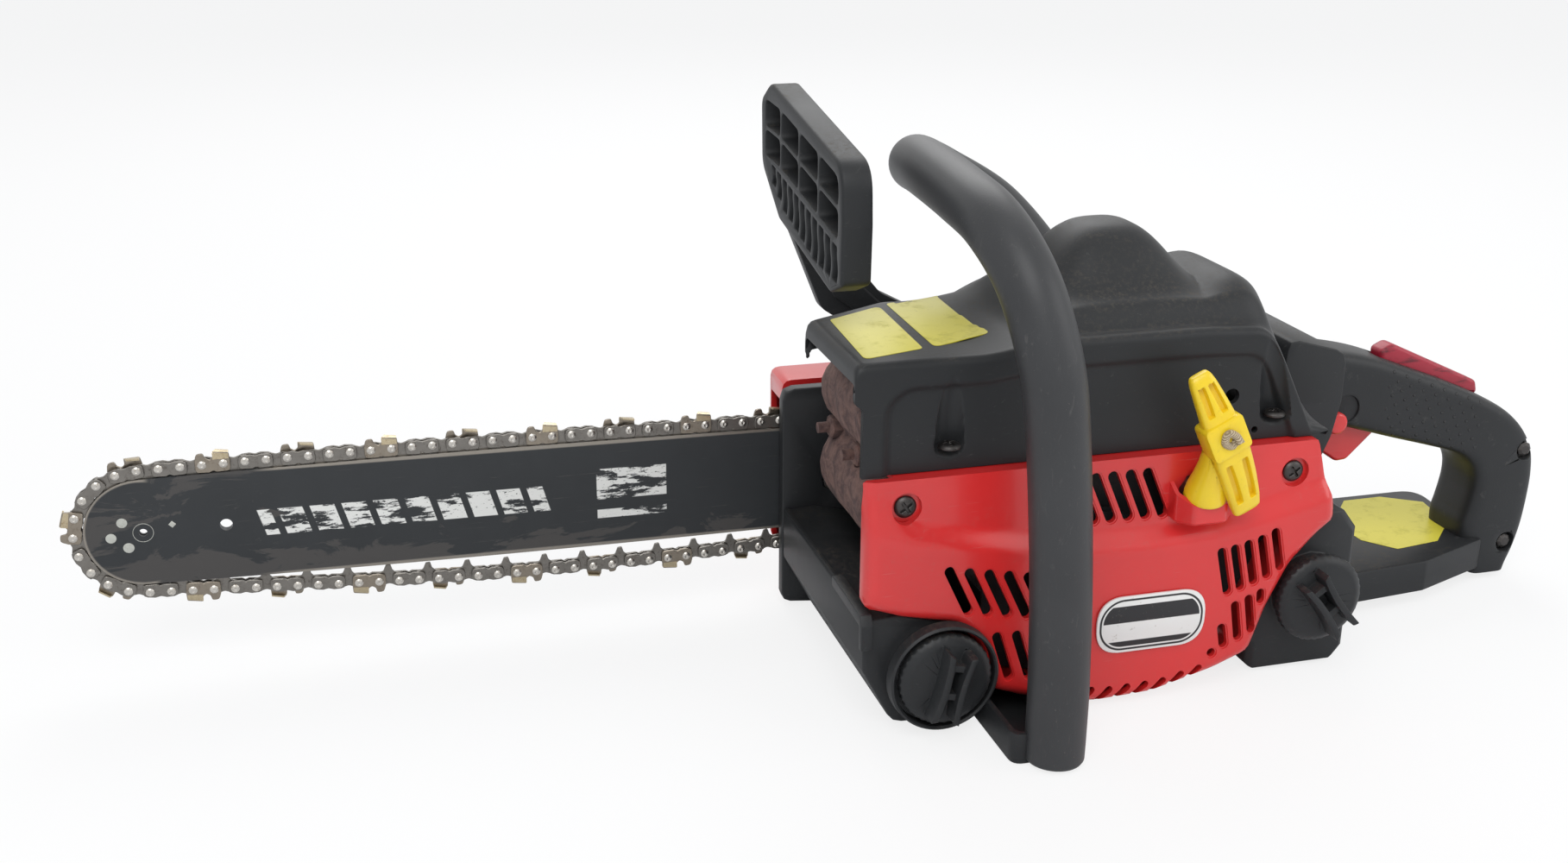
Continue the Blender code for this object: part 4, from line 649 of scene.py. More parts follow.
def carve(obj, *others, operation="DIFFERENCE"):
    """Cuts the others from an object, or joins them to it, and deletes them."""
    for other in others:
        before = obj.data
        for crossing in (False, True):
            step = obj.modifiers.new("carve", "BOOLEAN")
            step.operation = operation
            step.solver = "EXACT"
            step.use_self = crossing
            step.object = other
            bake(obj)
            if len(obj.data.polygons) > 0.6 * len(before.polygons):
                break
            obj.data = before
        else:
            raise RuntimeError(f"{obj.name}: nothing is left after {other.name}")
        bpy.data.objects.remove(other)
    return obj


def joined(obj, *others):
    return carve(obj, *others, operation="UNION")


def eased(obj, width, angle=40.0, segments=2):
    """Rounds every edge that is sharper than an angle."""
    step = obj.modifiers.new("ease", "BEVEL")
    step.width = width * MM
    step.segments = segments
    step.limit_method = "ANGLE"
    step.angle_limit = math.radians(angle)
    step.use_clamp_overlap = False
    step.miter_outer = "MITER_ARC"
    return bake(obj)


def merged(name, objects):
    """One object from several closed pieces that stay separate shells."""
    bm = bmesh.new()
    for obj in objects:
        bm.from_mesh(obj.data)
        bpy.data.objects.remove(obj)
    mesh = bpy.data.meshes.new(name)
    bm.to_mesh(mesh)
    bm.free()
    made = bpy.data.objects.new(name, mesh)
    bpy.context.scene.collection.objects.link(made)
    return made


def done(obj, material, slot, body, *nodes, angle=38.0):
    """Gives a piece its finish, its slot and the body it rides on, and hides the solids that it stands for."""
    obj.data.materials.clear()
    obj.data.materials.append(material)
    obj.data.shade_smooth()
    obj.data.set_sharp_from_angle(angle=math.radians(angle))
    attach(obj, body)
    if nodes:
        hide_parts(*nodes)
    return obj


def unit(vectors):
    vectors = np.asarray(vectors, float)
    return vectors / np.maximum(np.linalg.norm(vectors, axis=-1, keepdims=True), 1e-12)


def drawn_in(outline, distance):
    """Moves each point of a closed outline inwards along the mean of its two edges' normals."""
    outline = np.asarray(outline, float)
    before, after = np.roll(outline, 1, axis=0), np.roll(outline, -1, axis=0)
    area = np.sum(outline[:, 0] * after[:, 1] - after[:, 0] * outline[:, 1])
    side = 1.0 if area > 0 else -1.0
    first, second = unit(outline - before), unit(after - outline)
    normals = [np.stack([-w[:, 1], w[:, 0]], axis=1) * side for w in (first, second)]
    mean = unit(normals[0] + normals[1])
    spread = np.maximum(np.sum(mean * normals[0], axis=1, keepdims=True), 0.55)
    return outline + mean * distance / spread


def on_plane(outline, level, plane):
    """Lifts flat points to a level: XZ stands along Y, YZ along X and XY along Z."""
    outline = np.asarray(outline, float)
    flat = np.full(len(outline), float(level))
    columns = {
        "XZ": (outline[:, 0], flat, outline[:, 1]), "YZ": (flat, outline[:, 0], outline[:, 1]),
        "XY": (outline[:, 0], outline[:, 1], flat)
    }
    return np.stack(columns[plane], axis=1)


def slab(name, outline, low, high, ease=0.0, plane="XZ", steps=3):
    """A flat outline given thickness. Its two rims follow a quarter circle of radius ease: at angle a the outline
    is drawn in by ease * (1 - sin a) and stands ease * (1 - cos a) from its face."""
    if not ease:
        return surface(name, [on_plane(outline, low, plane), on_plane(outline, high, plane)])
    angles = np.linspace(0.0, np.pi / 2, steps)
    rims = [(ease * (1 - math.cos(a)), ease * (1 - math.sin(a))) for a in angles]
    rings = [on_plane(drawn_in(outline, inward), low + rise, plane) for rise, inward in rims]
    rings += [on_plane(drawn_in(outline, inward), high - rise, plane) for rise, inward in reversed(rims)]
    return surface(name, rings)


def frame_of(axis):
    """Two directions across an axis, and the axis itself."""
    axis = unit(axis)
    helper = np.array([0.0, 0.0, 1.0]) if abs(axis[2]) < 0.9 else np.array([1.0, 0.0, 0.0])
    across = unit(np.cross(helper, axis))
    return across, np.cross(axis, across), axis


def block_in(name, outline, origin, axes, low, high, ease=0.0):
    """A slab in a frame of its own: origin + u * first axis + v * second axis + level * third axis."""
    obj = slab(name, outline, low, high, ease, "XY")
    points = np.empty(len(obj.data.vertices) * 3)
    obj.data.vertices.foreach_get("co", points)
    moved = np.asarray(origin) * MM + points.reshape(-1, 3) @ np.asarray(axes)
    obj.data.vertices.foreach_set("co", moved.ravel())
    return obj


def turned(name, profile, place, axis, sides=40):
    """A profile of (radius, distance) pairs carried round an axis: place + distance * axis + radius * direction."""
    profile = np.asarray(profile, float)
    across, over, axis = frame_of(axis)
    angle = np.linspace(0.0, 2 * np.pi, sides, endpoint=False)
    ways = np.cos(angle)[:, None] * across + np.sin(angle)[:, None] * over
    points = np.asarray(place, float) + profile[:, 1, None, None] * axis + profile[:, 0, None, None] * ways
    return surface(name, points, ends=False)


def rod(name, start, end, radius, sides=20):
    start, end = np.asarray(start, float), np.asarray(end, float)
    length = np.linalg.norm(end - start)
    return turned(name, [(0, 0), (radius, 0), (radius, length), (0, length)], start, end - start, sides)


def box(name, low, high, ease=0.0):
    """A block between two corners, as an outline in X and Z carried along Y."""
    low, high = np.asarray(low, float), np.asarray(high, float)
    outline = [(low[0], low[2]), (high[0], low[2]), (high[0], high[2]), (low[0], high[2])]
    obj = slab(name, outline, low[1], high[1])
    return eased(obj, ease) if ease else obj


def spline(points, count):
    """Points along a smooth curve: between two knots the cubic whose slopes are half the step over the next ones."""
    knots = np.asarray(points, float)
    slopes = np.gradient(knots, axis=0)
    share = np.linspace(0.0, len(knots) - 1.0, count)
    first = np.clip(share.astype(int), 0, len(knots) - 2)
    t = (share - first)[:, None]
    a, b, m, n = knots[first], knots[first + 1], slopes[first], slopes[first + 1]
    return (2 * t**3 - 3 * t**2 + 1) * a + (t**3 - 2 * t**2 + t) * m + (3 * t**2 - 2 * t**3) * b + (t**3 - t**2) * n


def swept(name, path, radii, sides=32):
    """A round bar along a path. The ring at each point turns least from the one before, by projecting its
    first direction on the plane across the path; radii swell or close it."""
    path = np.asarray(path, float)
    ways = unit(np.gradient(path, axis=0))
    across = [frame_of(ways[0])[0]]
    for way in ways[1:]:
        across.append(unit(across[-1] - way * np.dot(across[-1], way)))
    across = np.array(across)
    over = np.cross(ways, across)
    angle = np.linspace(0.0, 2 * np.pi, sides, endpoint=False)
    radii = np.broadcast_to(np.asarray(radii, float), len(path))
    ring = np.cos(angle)[None, :, None] * across[:, None] + np.sin(angle)[None, :, None] * over[:, None]
    return surface(name, path[:, None] + radii[:, None, None] * ring)


def smooth(value, low, high):
    """0 below low, 1 above high, and the cubic 3s^2 - 2s^3 between."""
    share = np.clip((np.asarray(value, float) - low) / (high - low), 0.0, 1.0)
    return share * share * (3.0 - 2.0 * share)


def arc(centre, radius, start, end, count):
    """Points on an arc, from one angle to another in degrees."""
    angles = np.radians(np.linspace(start, end, count))
    return np.stack([centre[0] + radius * np.cos(angles), centre[1] + radius * np.sin(angles)], axis=1)


def rounded(corners, count=7):
    """An outline from (x, z, radius) corners. Each rounded corner is the parabola through its two tangent points."""
    points = []
    for i, (x, z, radius) in enumerate(corners):
        here = Vector((x, z))
        before = Vector(corners[i - 1][:2]) - here
        after = Vector(corners[(i + 1) % len(corners)][:2]) - here
        if radius <= 0:
            points.append(np.array([[x, z]]))
            continue
        half = before.angle(after) / 2
        reach = min(radius / math.tan(half), 0.49 * before.length, 0.49 * after.length)
        start, end = np.array(here + before.normalized() * reach), np.array(here + after.normalized() * reach)
        t = np.linspace(0.0, 1.0, count)[:, None]
        points.append(start * (1 - t) ** 2 + np.array(here) * 2 * t * (1 - t) + end * t**2)
    return np.vstack(points)


def inset(corners, distance):
    """The (x, z, radius) corners of an outline moved inwards by a distance, with tighter radii."""
    points = drawn_in([corner[:2] for corner in corners], distance)
    return [(x, z, max(corner[2] - distance, 1.0)) for (x, z), corner in zip(points, corners)]


def slotted(centre, length, width, angle, count=7):
    """A slot's outline with round ends, its length turned by angle degrees from +X."""
    half = length / 2 - width / 2
    way = np.array([math.cos(math.radians(angle)), math.sin(math.radians(angle))])
    head, tail = np.array(centre) + half * way, np.array(centre) - half * way
    return np.vstack(
        [arc(head, width / 2, angle - 90, angle + 90, count), arc(tail, width / 2, angle + 90, angle + 270, count)]
    )


def softened(node, width=0.6, angle=38.0, segments=2):
    """A copy of a node's solid with its loose triangles merged, its flat faces made whole and its edges rounded."""
    source = frame["nodes"][node]
    bm = bmesh.new()
    bm.from_mesh(source.data)
    bmesh.ops.remove_doubles(bm, verts=bm.verts, dist=0.000004)
    bmesh.ops.dissolve_limit(bm, angle_limit=math.radians(0.6), verts=bm.verts, edges=bm.edges)
    mesh = bpy.data.meshes.new(node + "_moulding")
    bm.to_mesh(mesh)
    bm.free()
    obj = bpy.data.objects.new(node + "_moulding", mesh)
    bpy.context.scene.collection.objects.link(obj)
    return eased(obj, width, angle, segments) if width else obj


# ---------------------------------------------------------------- bar and chain


def bar_point(along, across):
    """From bar coordinates, along it from the crank and across it upwards, to (x, z)."""
    x = CRANK_X - along * math.cos(BAR_RISE) + across * math.sin(BAR_RISE)
    z = CRANK_Z + along * math.sin(BAR_RISE) + across * math.cos(BAR_RISE)
    return x, z


def on_bar(points):
    points = np.asarray(points, float)
    return np.stack(bar_point(points[:, 0], points[:, 1]), axis=1)


def nose_radius():
    return RIVET_PITCH / 2 / math.sin(math.pi / (2 * NOSE_TEETH))


def bar_edge(nose, inward=0.0, steps=9, turns=9):
    """The bar's upper edge from its tail to its nose, as (along, half width)."""
    radius = nose_radius() - RIVET_ABOVE_BAR
    along = np.linspace(BAR_SHOULDER, nose, steps)
    share = (along - BAR_SHOULDER) / (nose - BAR_SHOULDER)
    half = BAR_HALF + (radius - BAR_HALF) * share**3 + BAR_BOW * np.sin(np.pi * share)
    tail = [(BAR_TAIL + 4.0 + inward / 2, BAR_HALF - 13.0), (BAR_TAIL + 30.0, BAR_HALF - 6.0)]
    edge = np.vstack([tail, np.stack([along[:-1], half[:-1]], axis=1), arc((nose, 0.0), radius, 90.0, 0.0, turns)])
    edge[:, 0] -= np.where(edge[:, 0] > nose, inward, 0.0)
    edge[:, 1] -= inward
    return edge


def hull(points):
    """The convex outline of points, anticlockwise."""
    points = sorted(set((round(a, 6), round(b, 6)) for a, b in points))

    def chain(ordered):
        kept = []
        for p in ordered:
            while len(kept) > 1 and (
                (kept[-1][0] - kept[-2][0]) * (p[1] - kept[-2][1])
                <= (kept[-1][1] - kept[-2][1]) * (p[0] - kept[-2][0])
            ):
                kept.pop()
            kept.append(p)
        return kept[:-1]

    return chain(points) + chain(points[::-1])


def chain_path(nose):
    """The rivets' path as dense points: a taut band round the sprocket and the bar, with a slack lower run."""
    sprocket = RIVET_PITCH / 2 / math.sin(math.pi / (2 * SPROCKET_TEETH))
    edge = bar_edge(nose, -RIVET_ABOVE_BAR, 41)
    bar = [tuple(p) for p in edge if BAR_SHOULDER - 1 < p[0] <= nose]
    bar += [tuple(p) for p in arc((nose, 0.0), nose_radius(), -90.0, 90.0, 361)]
    bar += [(a, -h) for a, h in edge if BAR_SHOULDER - 1 < a <= nose]
    band = np.array(hull(bar + [tuple(p) for p in arc((0.0, 0.0), sprocket, 0.0, 359.5, 720)]))
    band = np.vstack([band, band[:1]])
    lengths = np.concatenate([[0.0], np.cumsum(np.hypot(*np.diff(band, axis=0).T))])
    even = np.arange(0.0, lengths[-1], 0.25)
    path = np.stack([np.interp(even, lengths, band[:, 0]), np.interp(even, lengths, band[:, 1])], axis=1)
    below = (path[:, 1] < -sprocket + 0.5) & (path[:, 0] > 0) & (path[:, 0] < nose)
    share = np.clip(path[:, 0] / nose, 0.0, 1.0)
    path[:, 1] -= np.where(below, CHAIN_SAG * np.sin(np.pi * share) ** 1.25, 0.0)
    return path


def walk(path, start, count):
    """Points a rivet pitch apart along a closed path, and how far the last step misses the first point."""
    loop = np.vstack([path, path, path[:1]])
    here, at, rivets = loop[start], start, [loop[start]]
    for _ in range(count):
        ahead = loop[at : at + 120]
        far = np.hypot(*(ahead - here).T)
        step = int(np.argmax(far > RIVET_PITCH))
        part = (RIVET_PITCH - far[step - 1]) / (far[step] - far[step - 1])
        here = ahead[step - 1] + part * (ahead[step] - ahead[step - 1])
        at += step - 1
        rivets.append(here)
    way = loop[start + 4] - loop[start]
    return np.array(rivets[:-1]), (rivets[-1] - rivets[0]) @ way / np.hypot(*way)


def fit_chain():
    """The bar's reach from the crank at which the chain closes, as the tensioner sets it, and the rivets."""
    low, high = 405.0, 428.0
    for _ in range(28):
        nose = (low + high) / 2
        path = chain_path(nose)
        start = int(np.argmin(np.hypot(*(path - (nose, nose_radius())).T)))
        rivets, missing = walk(path, start, 2 * LINK_PAIRS)
        low, high = (nose, high) if missing > 0 else (low, nose)
    return nose, rivets


NOSE, RIVETS = fit_chain()


def link_places(numbers):
    """For links between two rivets: the first rivet, and axes along the link, sideways and outwards."""
    first, second = RIVETS[numbers], RIVETS[(numbers + 1) % len(RIVETS)]
    along = unit(second - first)
    outward = np.stack([along[:, 1], -along[:, 0]], axis=1)
    starts, ends, tops = on_bar(first), on_bar(first + along), on_bar(first + outward)
    places = []
    for start, end, top in zip(starts, ends, tops):
        a, o = end - start, top - start
        places.append(((start[0], BAR_Y, start[1]), ((a[0], 0.0, a[1]), (0.0, 1.0, 0.0), (o[0], 0.0, o[1]))))
    return places


def link_rings(outline, low, high, ease):
    """A link's outline of (along, outwards) points as rings across the chain, its rims drawn in by ease."""
    small, full = drawn_in(outline, ease), np.asarray(outline, float)
    levels = [(small, low), (full, low + ease), (full, high - ease), (small, high)]
    return [np.stack([p[:, 0], np.full(len(p), level), p[:, 1]], axis=1) for p, level in levels]


DRIVE_LINK = [
    (-2.9, -0.6, 1.2), (-1.6, 2.5, 1.6), (2.0, 2.6, 1.2), (RIVET_PITCH / 2, 1.7, 2.0), (RIVET_PITCH - 2.0, 2.6, 1.2),
    (RIVET_PITCH + 1.6, 2.5, 1.6), (RIVET_PITCH + 2.9, -0.6, 1.2), (RIVET_PITCH + 1.2, -3.6, 1.0), (7.6, -4.6, 1.0),
    (6.3, -7.9, 0.5), (4.2, -8.3, 0.5), (3.2, -5.2, 1.5), (1.6, -3.9, 1.2), (-1.4, -3.2, 1.0),
]
TIE_STRAP = [
    (-3.0, -3.7, 1.5), (-3.2, 2.4, 2.2), (2.2, 2.9, 1.4), (RIVET_PITCH / 2, 2.2, 1.6), (RIVET_PITCH - 2.2, 2.9, 1.4),
    (RIVET_PITCH + 3.2, 2.4, 2.2), (RIVET_PITCH + 3.0, -3.7, 1.5), (RIVET_PITCH / 2 + 1.6, -3.9, 0.8),
    (RIVET_PITCH / 2, -3.1, 0.8), (RIVET_PITCH / 2 - 1.6, -3.9, 0.8),
]
CUTTER = [
    (-3.0, -3.7, 1.5), (-3.1, 1.8, 1.2), (-2.2, 5.3, 1.6), (0.9, 5.5, 0.9), (1.7, 3.2, 1.0), (3.5, 2.0, 1.4),
    (5.0, 3.3, 1.0), (5.3, 6.0, 0.4), (RIVET_PITCH + 2.7, 5.3, 0.8), (RIVET_PITCH + 3.1, 1.6, 1.6),
    (RIVET_PITCH + 3.0, -3.7, 1.5), (RIVET_PITCH / 2 + 1.6, -3.9, 0.8), (RIVET_PITCH / 2, -3.1, 0.8),
    (RIVET_PITCH / 2 - 1.6, -3.9, 0.8),
]


def top_plate_rings(side):
    """A cutter's top plate, bent over from its side plate: its section turns a quarter circle from upright to
    level and is carried back along the link, with a slanting front edge and a falling top."""
    turn = np.radians(np.linspace(0.0, 90.0, 5))
    outer = [(2.25, 2.4)] + [(1.15 + 1.1 * math.cos(a), 5.1 + 1.1 * math.sin(a)) for a in turn] + [(-1.3, 6.25)]
    inner = [(-1.3, 5.45)] + [(0.95 + 0.5 * math.cos(a), 4.9 + 0.5 * math.sin(a)) for a in turn[::-1]] + [(1.45, 2.4)]
    section = np.array(outer + inner)
    rings = []
    for back, drop, lean in ((5.0, 0.0, 1.0), (8.4, 0.35, 0.3), (RIVET_PITCH + 2.6, 0.85, 0.0)):
        along = back + lean * 0.75 * (2.25 - section[:, 0]) * 0.55
        lower = np.where(section[:, 1] > 3.0, drop, 0.0)
        rings.append(np.stack([along, side * (section[:, 0] + 0.0), section[:, 1] - lower], axis=1))
    return rings


def rivet_rings(radius, side, base):
    """A domed rivet head: radius * cos a across and a quarter as much out, over half a right angle steps."""
    angle = np.linspace(0.0, 2 * np.pi, 10, endpoint=False)
    rings = []
    for spread, rise in ((1.0, 0.0), (1.0, 0.22), (0.80, 0.58), (0.42, 0.80), (0.30, 0.66)):
        y = side * (base + rise)
        rings.append(
            np.stack([radius * spread * np.cos(angle), np.full(10, y), radius * spread * np.sin(angle)], axis=1)
        )
    return rings


def saw_chain():
    """Drive links on the bar's middle plane, pairs of straps between them, and every other pair has a cutter."""
    numbers = np.arange(len(RIVETS))
    odd = numbers[1::2]
    kind = ((odd - 1) // 2 + CUTTER_PHASE) % 4
    near, far = odd[kind == 0], odd[kind == 2]
    links = [
        copies("drive_links", link_rings(rounded(DRIVE_LINK, 3), -0.62, 0.62, 0.15), link_places(numbers[::2])),
        copies("near_straps", link_rings(rounded(TIE_STRAP, 3), -2.05, -0.75, 0.22), link_places(odd[kind != 0])),
        copies("far_straps", link_rings(rounded(TIE_STRAP, 3), 0.75, 2.05, 0.22), link_places(odd[kind != 2])),
    ]
    cutters = [
        copies("near_cutters", link_rings(rounded(CUTTER, 3), -2.15, -0.75, 0.2), link_places(near)),
        copies("far_cutters", link_rings(rounded(CUTTER, 3), 0.75, 2.15, 0.2), link_places(far)),
    ]
    tops = [
        copies("near_tops", top_plate_rings(-1.0), link_places(near)),
        copies("far_tops", top_plate_rings(1.0), link_places(far)),
    ]
    radius = sizes().rivet / MM
    heads = [copies(f"rivets_{side}", rivet_rings(radius, side, 2.0), link_places(numbers)) for side in (-1, 1)]
    done(merged("chain_links", links), chain_steel(), "chain_steel", "powerhead", "saw_chain")
    done(merged("chain_cutters", cutters), cutter_steel(), "chain_steel", "powerhead", "saw_chain")
    done(merged("cutter_tops", tops), plated_steel(), "chain_steel", "powerhead", "saw_chain")
    done(merged("chain_rivets", heads), rivet_steel(), "chain_steel", "powerhead", "saw_chain")


def guide_bar():
    """Two outer plates and a narrower core: the bar's edge mirrored below, with the same edges drawn in."""

    def outline(inward, far):
        upper = bar_edge(NOSE, inward, 60, 40)
        upper = upper[upper[:, 0] < far]
        lower = upper[::-1] * (1.0, -1.0)
        return on_bar(np.vstack([upper, lower[lower[:, 1] < -0.01]]))

    near = slab("near_plate", outline(0.0, 1e3), BAR_Y - RAIL, BAR_Y - GROOVE, 0.3)
    far = slab("far_plate", outline(0.0, 1e3), BAR_Y + GROOVE, BAR_Y + RAIL, 0.3)
    core = slab("core", outline(GROOVE_DEPTH, NOSE - 30.0), BAR_Y - GROOVE, BAR_Y + GROOVE)
    middle = sum(STUDS) / 2
    bores = [
        slab(
            "stud_slot", on_bar(slotted((middle, 0.0), STUDS[1] - STUDS[0] + 22.0, 9.0, 0.0)), BAR_Y - 5, BAR_Y + 5
        )
    ]
    spots = [
        (bar_point(73.0, 12.0), 3.2), (bar_point(73.0, -12.0), 3.2), (bar_point(381.0, 0.5), 2.9),
        (bar_point(NOSE, 0.0), 1.9)
    ]
    for number, ((x, z), radius) in enumerate(spots):
        bores.append(rod(f"bar_hole_{number}", (x, BAR_Y - 5, z), (x, BAR_Y + 5, z), radius, 24))
    cutter = merged("bar_bores", bores)
    step = near.modifiers.new("carve", "BOOLEAN")
    step.object = cutter
    bake(near)
    step = far.modifiers.new("carve", "BOOLEAN")
    step.object = cutter
    bake(far)
    carve(core, cutter)
    done(merged("bar_plates", [near, far, core]), bar_paint(), "bar_paint", "powerhead", "guide_bar")

    heads = []
    for number, (along, across, radius) in enumerate(
        ((NOSE + 8.8, 5.6, 2.6), (NOSE + 14.2, -1.6, 2.6), (NOSE + 7.0, -7.0, 2.7), (NOSE - 13.0, 3.0, 1.9))
    ):
        x, z = bar_point(along, across)
        profile = [
            (0, RAIL + 0.12), (radius * 0.7, RAIL + 0.12), (radius, RAIL - 0.05), (radius, -RAIL + 0.05),
            (radius * 0.7, -RAIL - 0.12), (0, -RAIL - 0.12)
        ]
        heads.append(turned(f"nose_rivet_{number}", profile, (x, BAR_Y, z), (0, -1, 0), 4 if radius < 2.0 else 24))
    x, z = bar_point(NOSE, 0.0)
    for side in (-1, 1):
        ring = [
            (4.4, RAIL - 0.4), (4.4, RAIL + 0.06), (4.5, RAIL + 0.10), (4.62, RAIL + 0.06), (4.66, RAIL - 0.4),
            (4.4, RAIL - 0.4)
        ]
        heads.append(turned(f"nose_ring_{side}", ring, (x, BAR_Y, z), (0, side, 0), 36))
    done(merged("nose_rivets", heads), nose_steel(), "chain_steel", "powerhead")


# ---------------------------------------------------------------- casing


HOUSING_SCREWS = ((-93.0, 108.0), (94.0, 106.0))
COVER_SCREWS = ((-72.0, 134.0), (84.0, 135.0))


def cover_height(x, y):
    """The top cover's crown: a flat front, a step up to the plateau, the dome over the spark plug and the low lobe
    behind it, and a fall to the rear, never above a plane that slopes down to the rear left corner. Dome and lobe
    are exp(-(distance / reach) ** power) along X times along Y, and the plane meets them with a soft minimum."""
    front = 172.0 + 4.0 * smooth(x, -60.0, -22.0) - 2.0 * smooth(x, 40.0, 90.0)
    plateau = 9.0 * smooth(x, -38.0, -8.0) * smooth(y, -73.0, -63.0)
    fall = -34.0 * smooth(x, 70.0, 122.0)
    dome = 29.0 * np.exp(-(np.abs((x - 20.0) / 32.0) ** 3)) * np.exp(-(np.abs((y + 22.0) / 29.0) ** 3.4))
    lobe = 9.0 * np.exp(-(((x - 82.0) / 25.0) ** 4)) * np.exp(-(((y + 28.0) / 35.0) ** 6))
    right = -10.0 * smooth(y, 8.0, COVER_RIGHT)
    crown = front + plateau + fall + np.maximum(dome, lobe) + right
    slope = 178.0 - 2.0 * (x - 76.0 - 0.45 * (y + 78.0))
    return np.maximum(-2.5 * np.logaddexp(-crown / 2.5, -slope / 2.5), SEAM_Z + LIP + 1.0)


def cover_right(x):
    """The crown's far edge, which runs out from the front corner to the engine's side."""
    return np.interp(x, (-116.0, -78.0, -46.0, -28.0), (-8.0, 12.0, 31.0, COVER_RIGHT))


def flute(along, above, depth, tall, radius):
    """A groove of round section that fades out upwards and ends in a ledge just below the screw."""
    deep = depth * np.clip(1.0 - above / tall, 0.0, 1.0) * smooth(above, -8.0, -2.0)
    return np.clip(deep - radius + np.sqrt(np.clip(radius**2 - along**2, 0.0, None)), 0.0, None)


def cover_sink(x, z):
    """How far the left wall is pressed in: a broad panel with round corners inside a frame, and two flutes."""
    top = cover_height(x, COVER_LEFT + LIP) - LIP - 6.5
    corner = 15.0
    ahead = np.maximum(-103.0 + corner - x, 0.0)
    above = np.maximum(z - (top - corner), 0.0)
    behind = np.maximum(x - (96.0 - 0.34 * (z - SEAM_Z)) + corner, 0.0)
    inside = corner - np.hypot(np.maximum(ahead, behind), above)
    panel = 2.3 * smooth(inside, 0.0, 4.0)
    (a, b), (c, d) = COVER_SCREWS
    front = flute(x - a, z - b, 5.4, 31.0, 7.0)
    rear = flute(x - c + 0.16 * (z - d), z - d, 5.2, 36.0, 7.5)
    return panel + np.maximum(front, rear)


def cover_section(x, sides, across):
    """One cross-section of the top cover as (x, y, z) points: its left wall, a quarter circle of radius LIP, its
    crown, the same again and its right wall."""
    right = cover_right(x)
    near, far = COVER_LEFT + LIP, right - LIP
    y = near + (far - near) * (0.5 - 0.5 * np.cos(np.pi * np.linspace(0.0, 1.0, across)))
    z = cover_height(np.full(across, x), y)
    foot = SEAM_Z + 0.4
    left_z = foot + (z[0] - LIP - foot) * np.linspace(0.0, 1.0, sides)
    left_y = COVER_LEFT + cover_sink(np.full(sides, x), left_z)
    turn = np.radians(np.linspace(0.0, 90.0, 7))[1:-1]
    roll = np.stack([LIP * (1.0 - np.cos(turn)), LIP * (1.0 - np.sin(turn))], axis=1)
    raised = foot + 36.0 * (1.0 - smooth(x, -42.0, -26.0))
    share = np.linspace(0.0, 1.0, 14)
    right_z = z[-1] - LIP + (raised - z[-1] + LIP) * share
    right_y = right + 0.8 * np.sin(np.pi * share)
    section = np.vstack([
        np.stack([left_y, left_z], axis=1), (COVER_LEFT, z[0]) + roll * (1, -1), np.stack([y, z], axis=1),
        (right, z[-1]) - roll[::-1], np.stack([right_y, right_z], axis=1),
    ])
    return np.column_stack([np.full(len(section), x), section])


def top_cover():
    """The cover's shell: cover_section at close stations along X, closed behind by a sloping wall, and given a
    wall inwards."""
    stations = np.concatenate([
        np.linspace(-112.0, -82.0, 22), np.linspace(-81.0, -63.0, 32), np.linspace(-61.5, 74.0, 82),
        np.linspace(75.0, 93.0, 32), np.linspace(94.5, 104.0, 8),
    ])
    rings = [cover_section(x, 46, 64) for x in stations]
    for ahead, drop in ((1.7, 0.5), (3.1, 2.0), (3.7, 4.5), (3.7, 8.5)):
        lip = cover_section(stations[0], 46, 64)
        weight = smooth(lip[:, 2], 150.0, 166.0)
        lip[:, 0] -= ahead * weight
        lip[:, 2] -= drop * weight
        rings.insert(0, lip)
    last = rings[-1]
    for share in (0.12, 0.4, 0.7, 1.0):
        moved = last.copy()
        moved[:, 0] += 8.0 * share
        moved[:, 2] = SEAM_Z + 2.0 * share + (1.0 - 0.9 * share) * (last[:, 2] - SEAM_Z)
        rings.append(moved)
    obj = surface("top_cover_shell", rings, closed=False, ends=False)
    hollowed(obj)
    x, z = CHOKE_HOLE
    carve(
        obj, rod("choke", (x, -100, z), (x, -60, z), 3.6, 24),
        rod("vent", (75, -100, 118.0 + 8.0), (75, -60, 126.0), 1.6, 16)
    )
    return done(obj, moulded_black(0.46), "black_plastic", "powerhead", "top_cover")


def faces_inwards(obj):
    """True if the mean face of an open shell points to its middle."""
    count = len(obj.data.polygons)
    centres, normals = np.empty(count * 3), np.empty(count * 3)
    obj.data.polygons.foreach_get("center", centres)
    obj.data.polygons.foreach_get("normal", normals)
    centres = centres.reshape(-1, 3)
    return float(np.sum((centres - centres.mean(axis=0)) * normals.reshape(-1, 3))) < 0


HOUSING = [
    (-112, SEAM_Z, 2), (-112, 64, 5), (-95, 57.8, 5), (-70, 52, 5), (-57, 39, 5), (-52, 17, 5), (-36, 11, 8),
    (0, 3, 20), (29, 4, 20), (60, 12, 14), (78, 19, 6), (85, 41, 6), (95, 62, 6), (107, 75, 5), (116, 82, 4),
    (104.5, SEAM_Z, 2),
]


FOLD = np.array([
    (-130.0, 95.5), (-100.0, 93.0), (-60.0, 85.5), (-30.0, 80.5), (-6.0, 78.0), (20.0, 77.4), (53.0, 79.0),
    (80.0, 84.5), (105.0, 90.5), (130.0, 97.0),
])


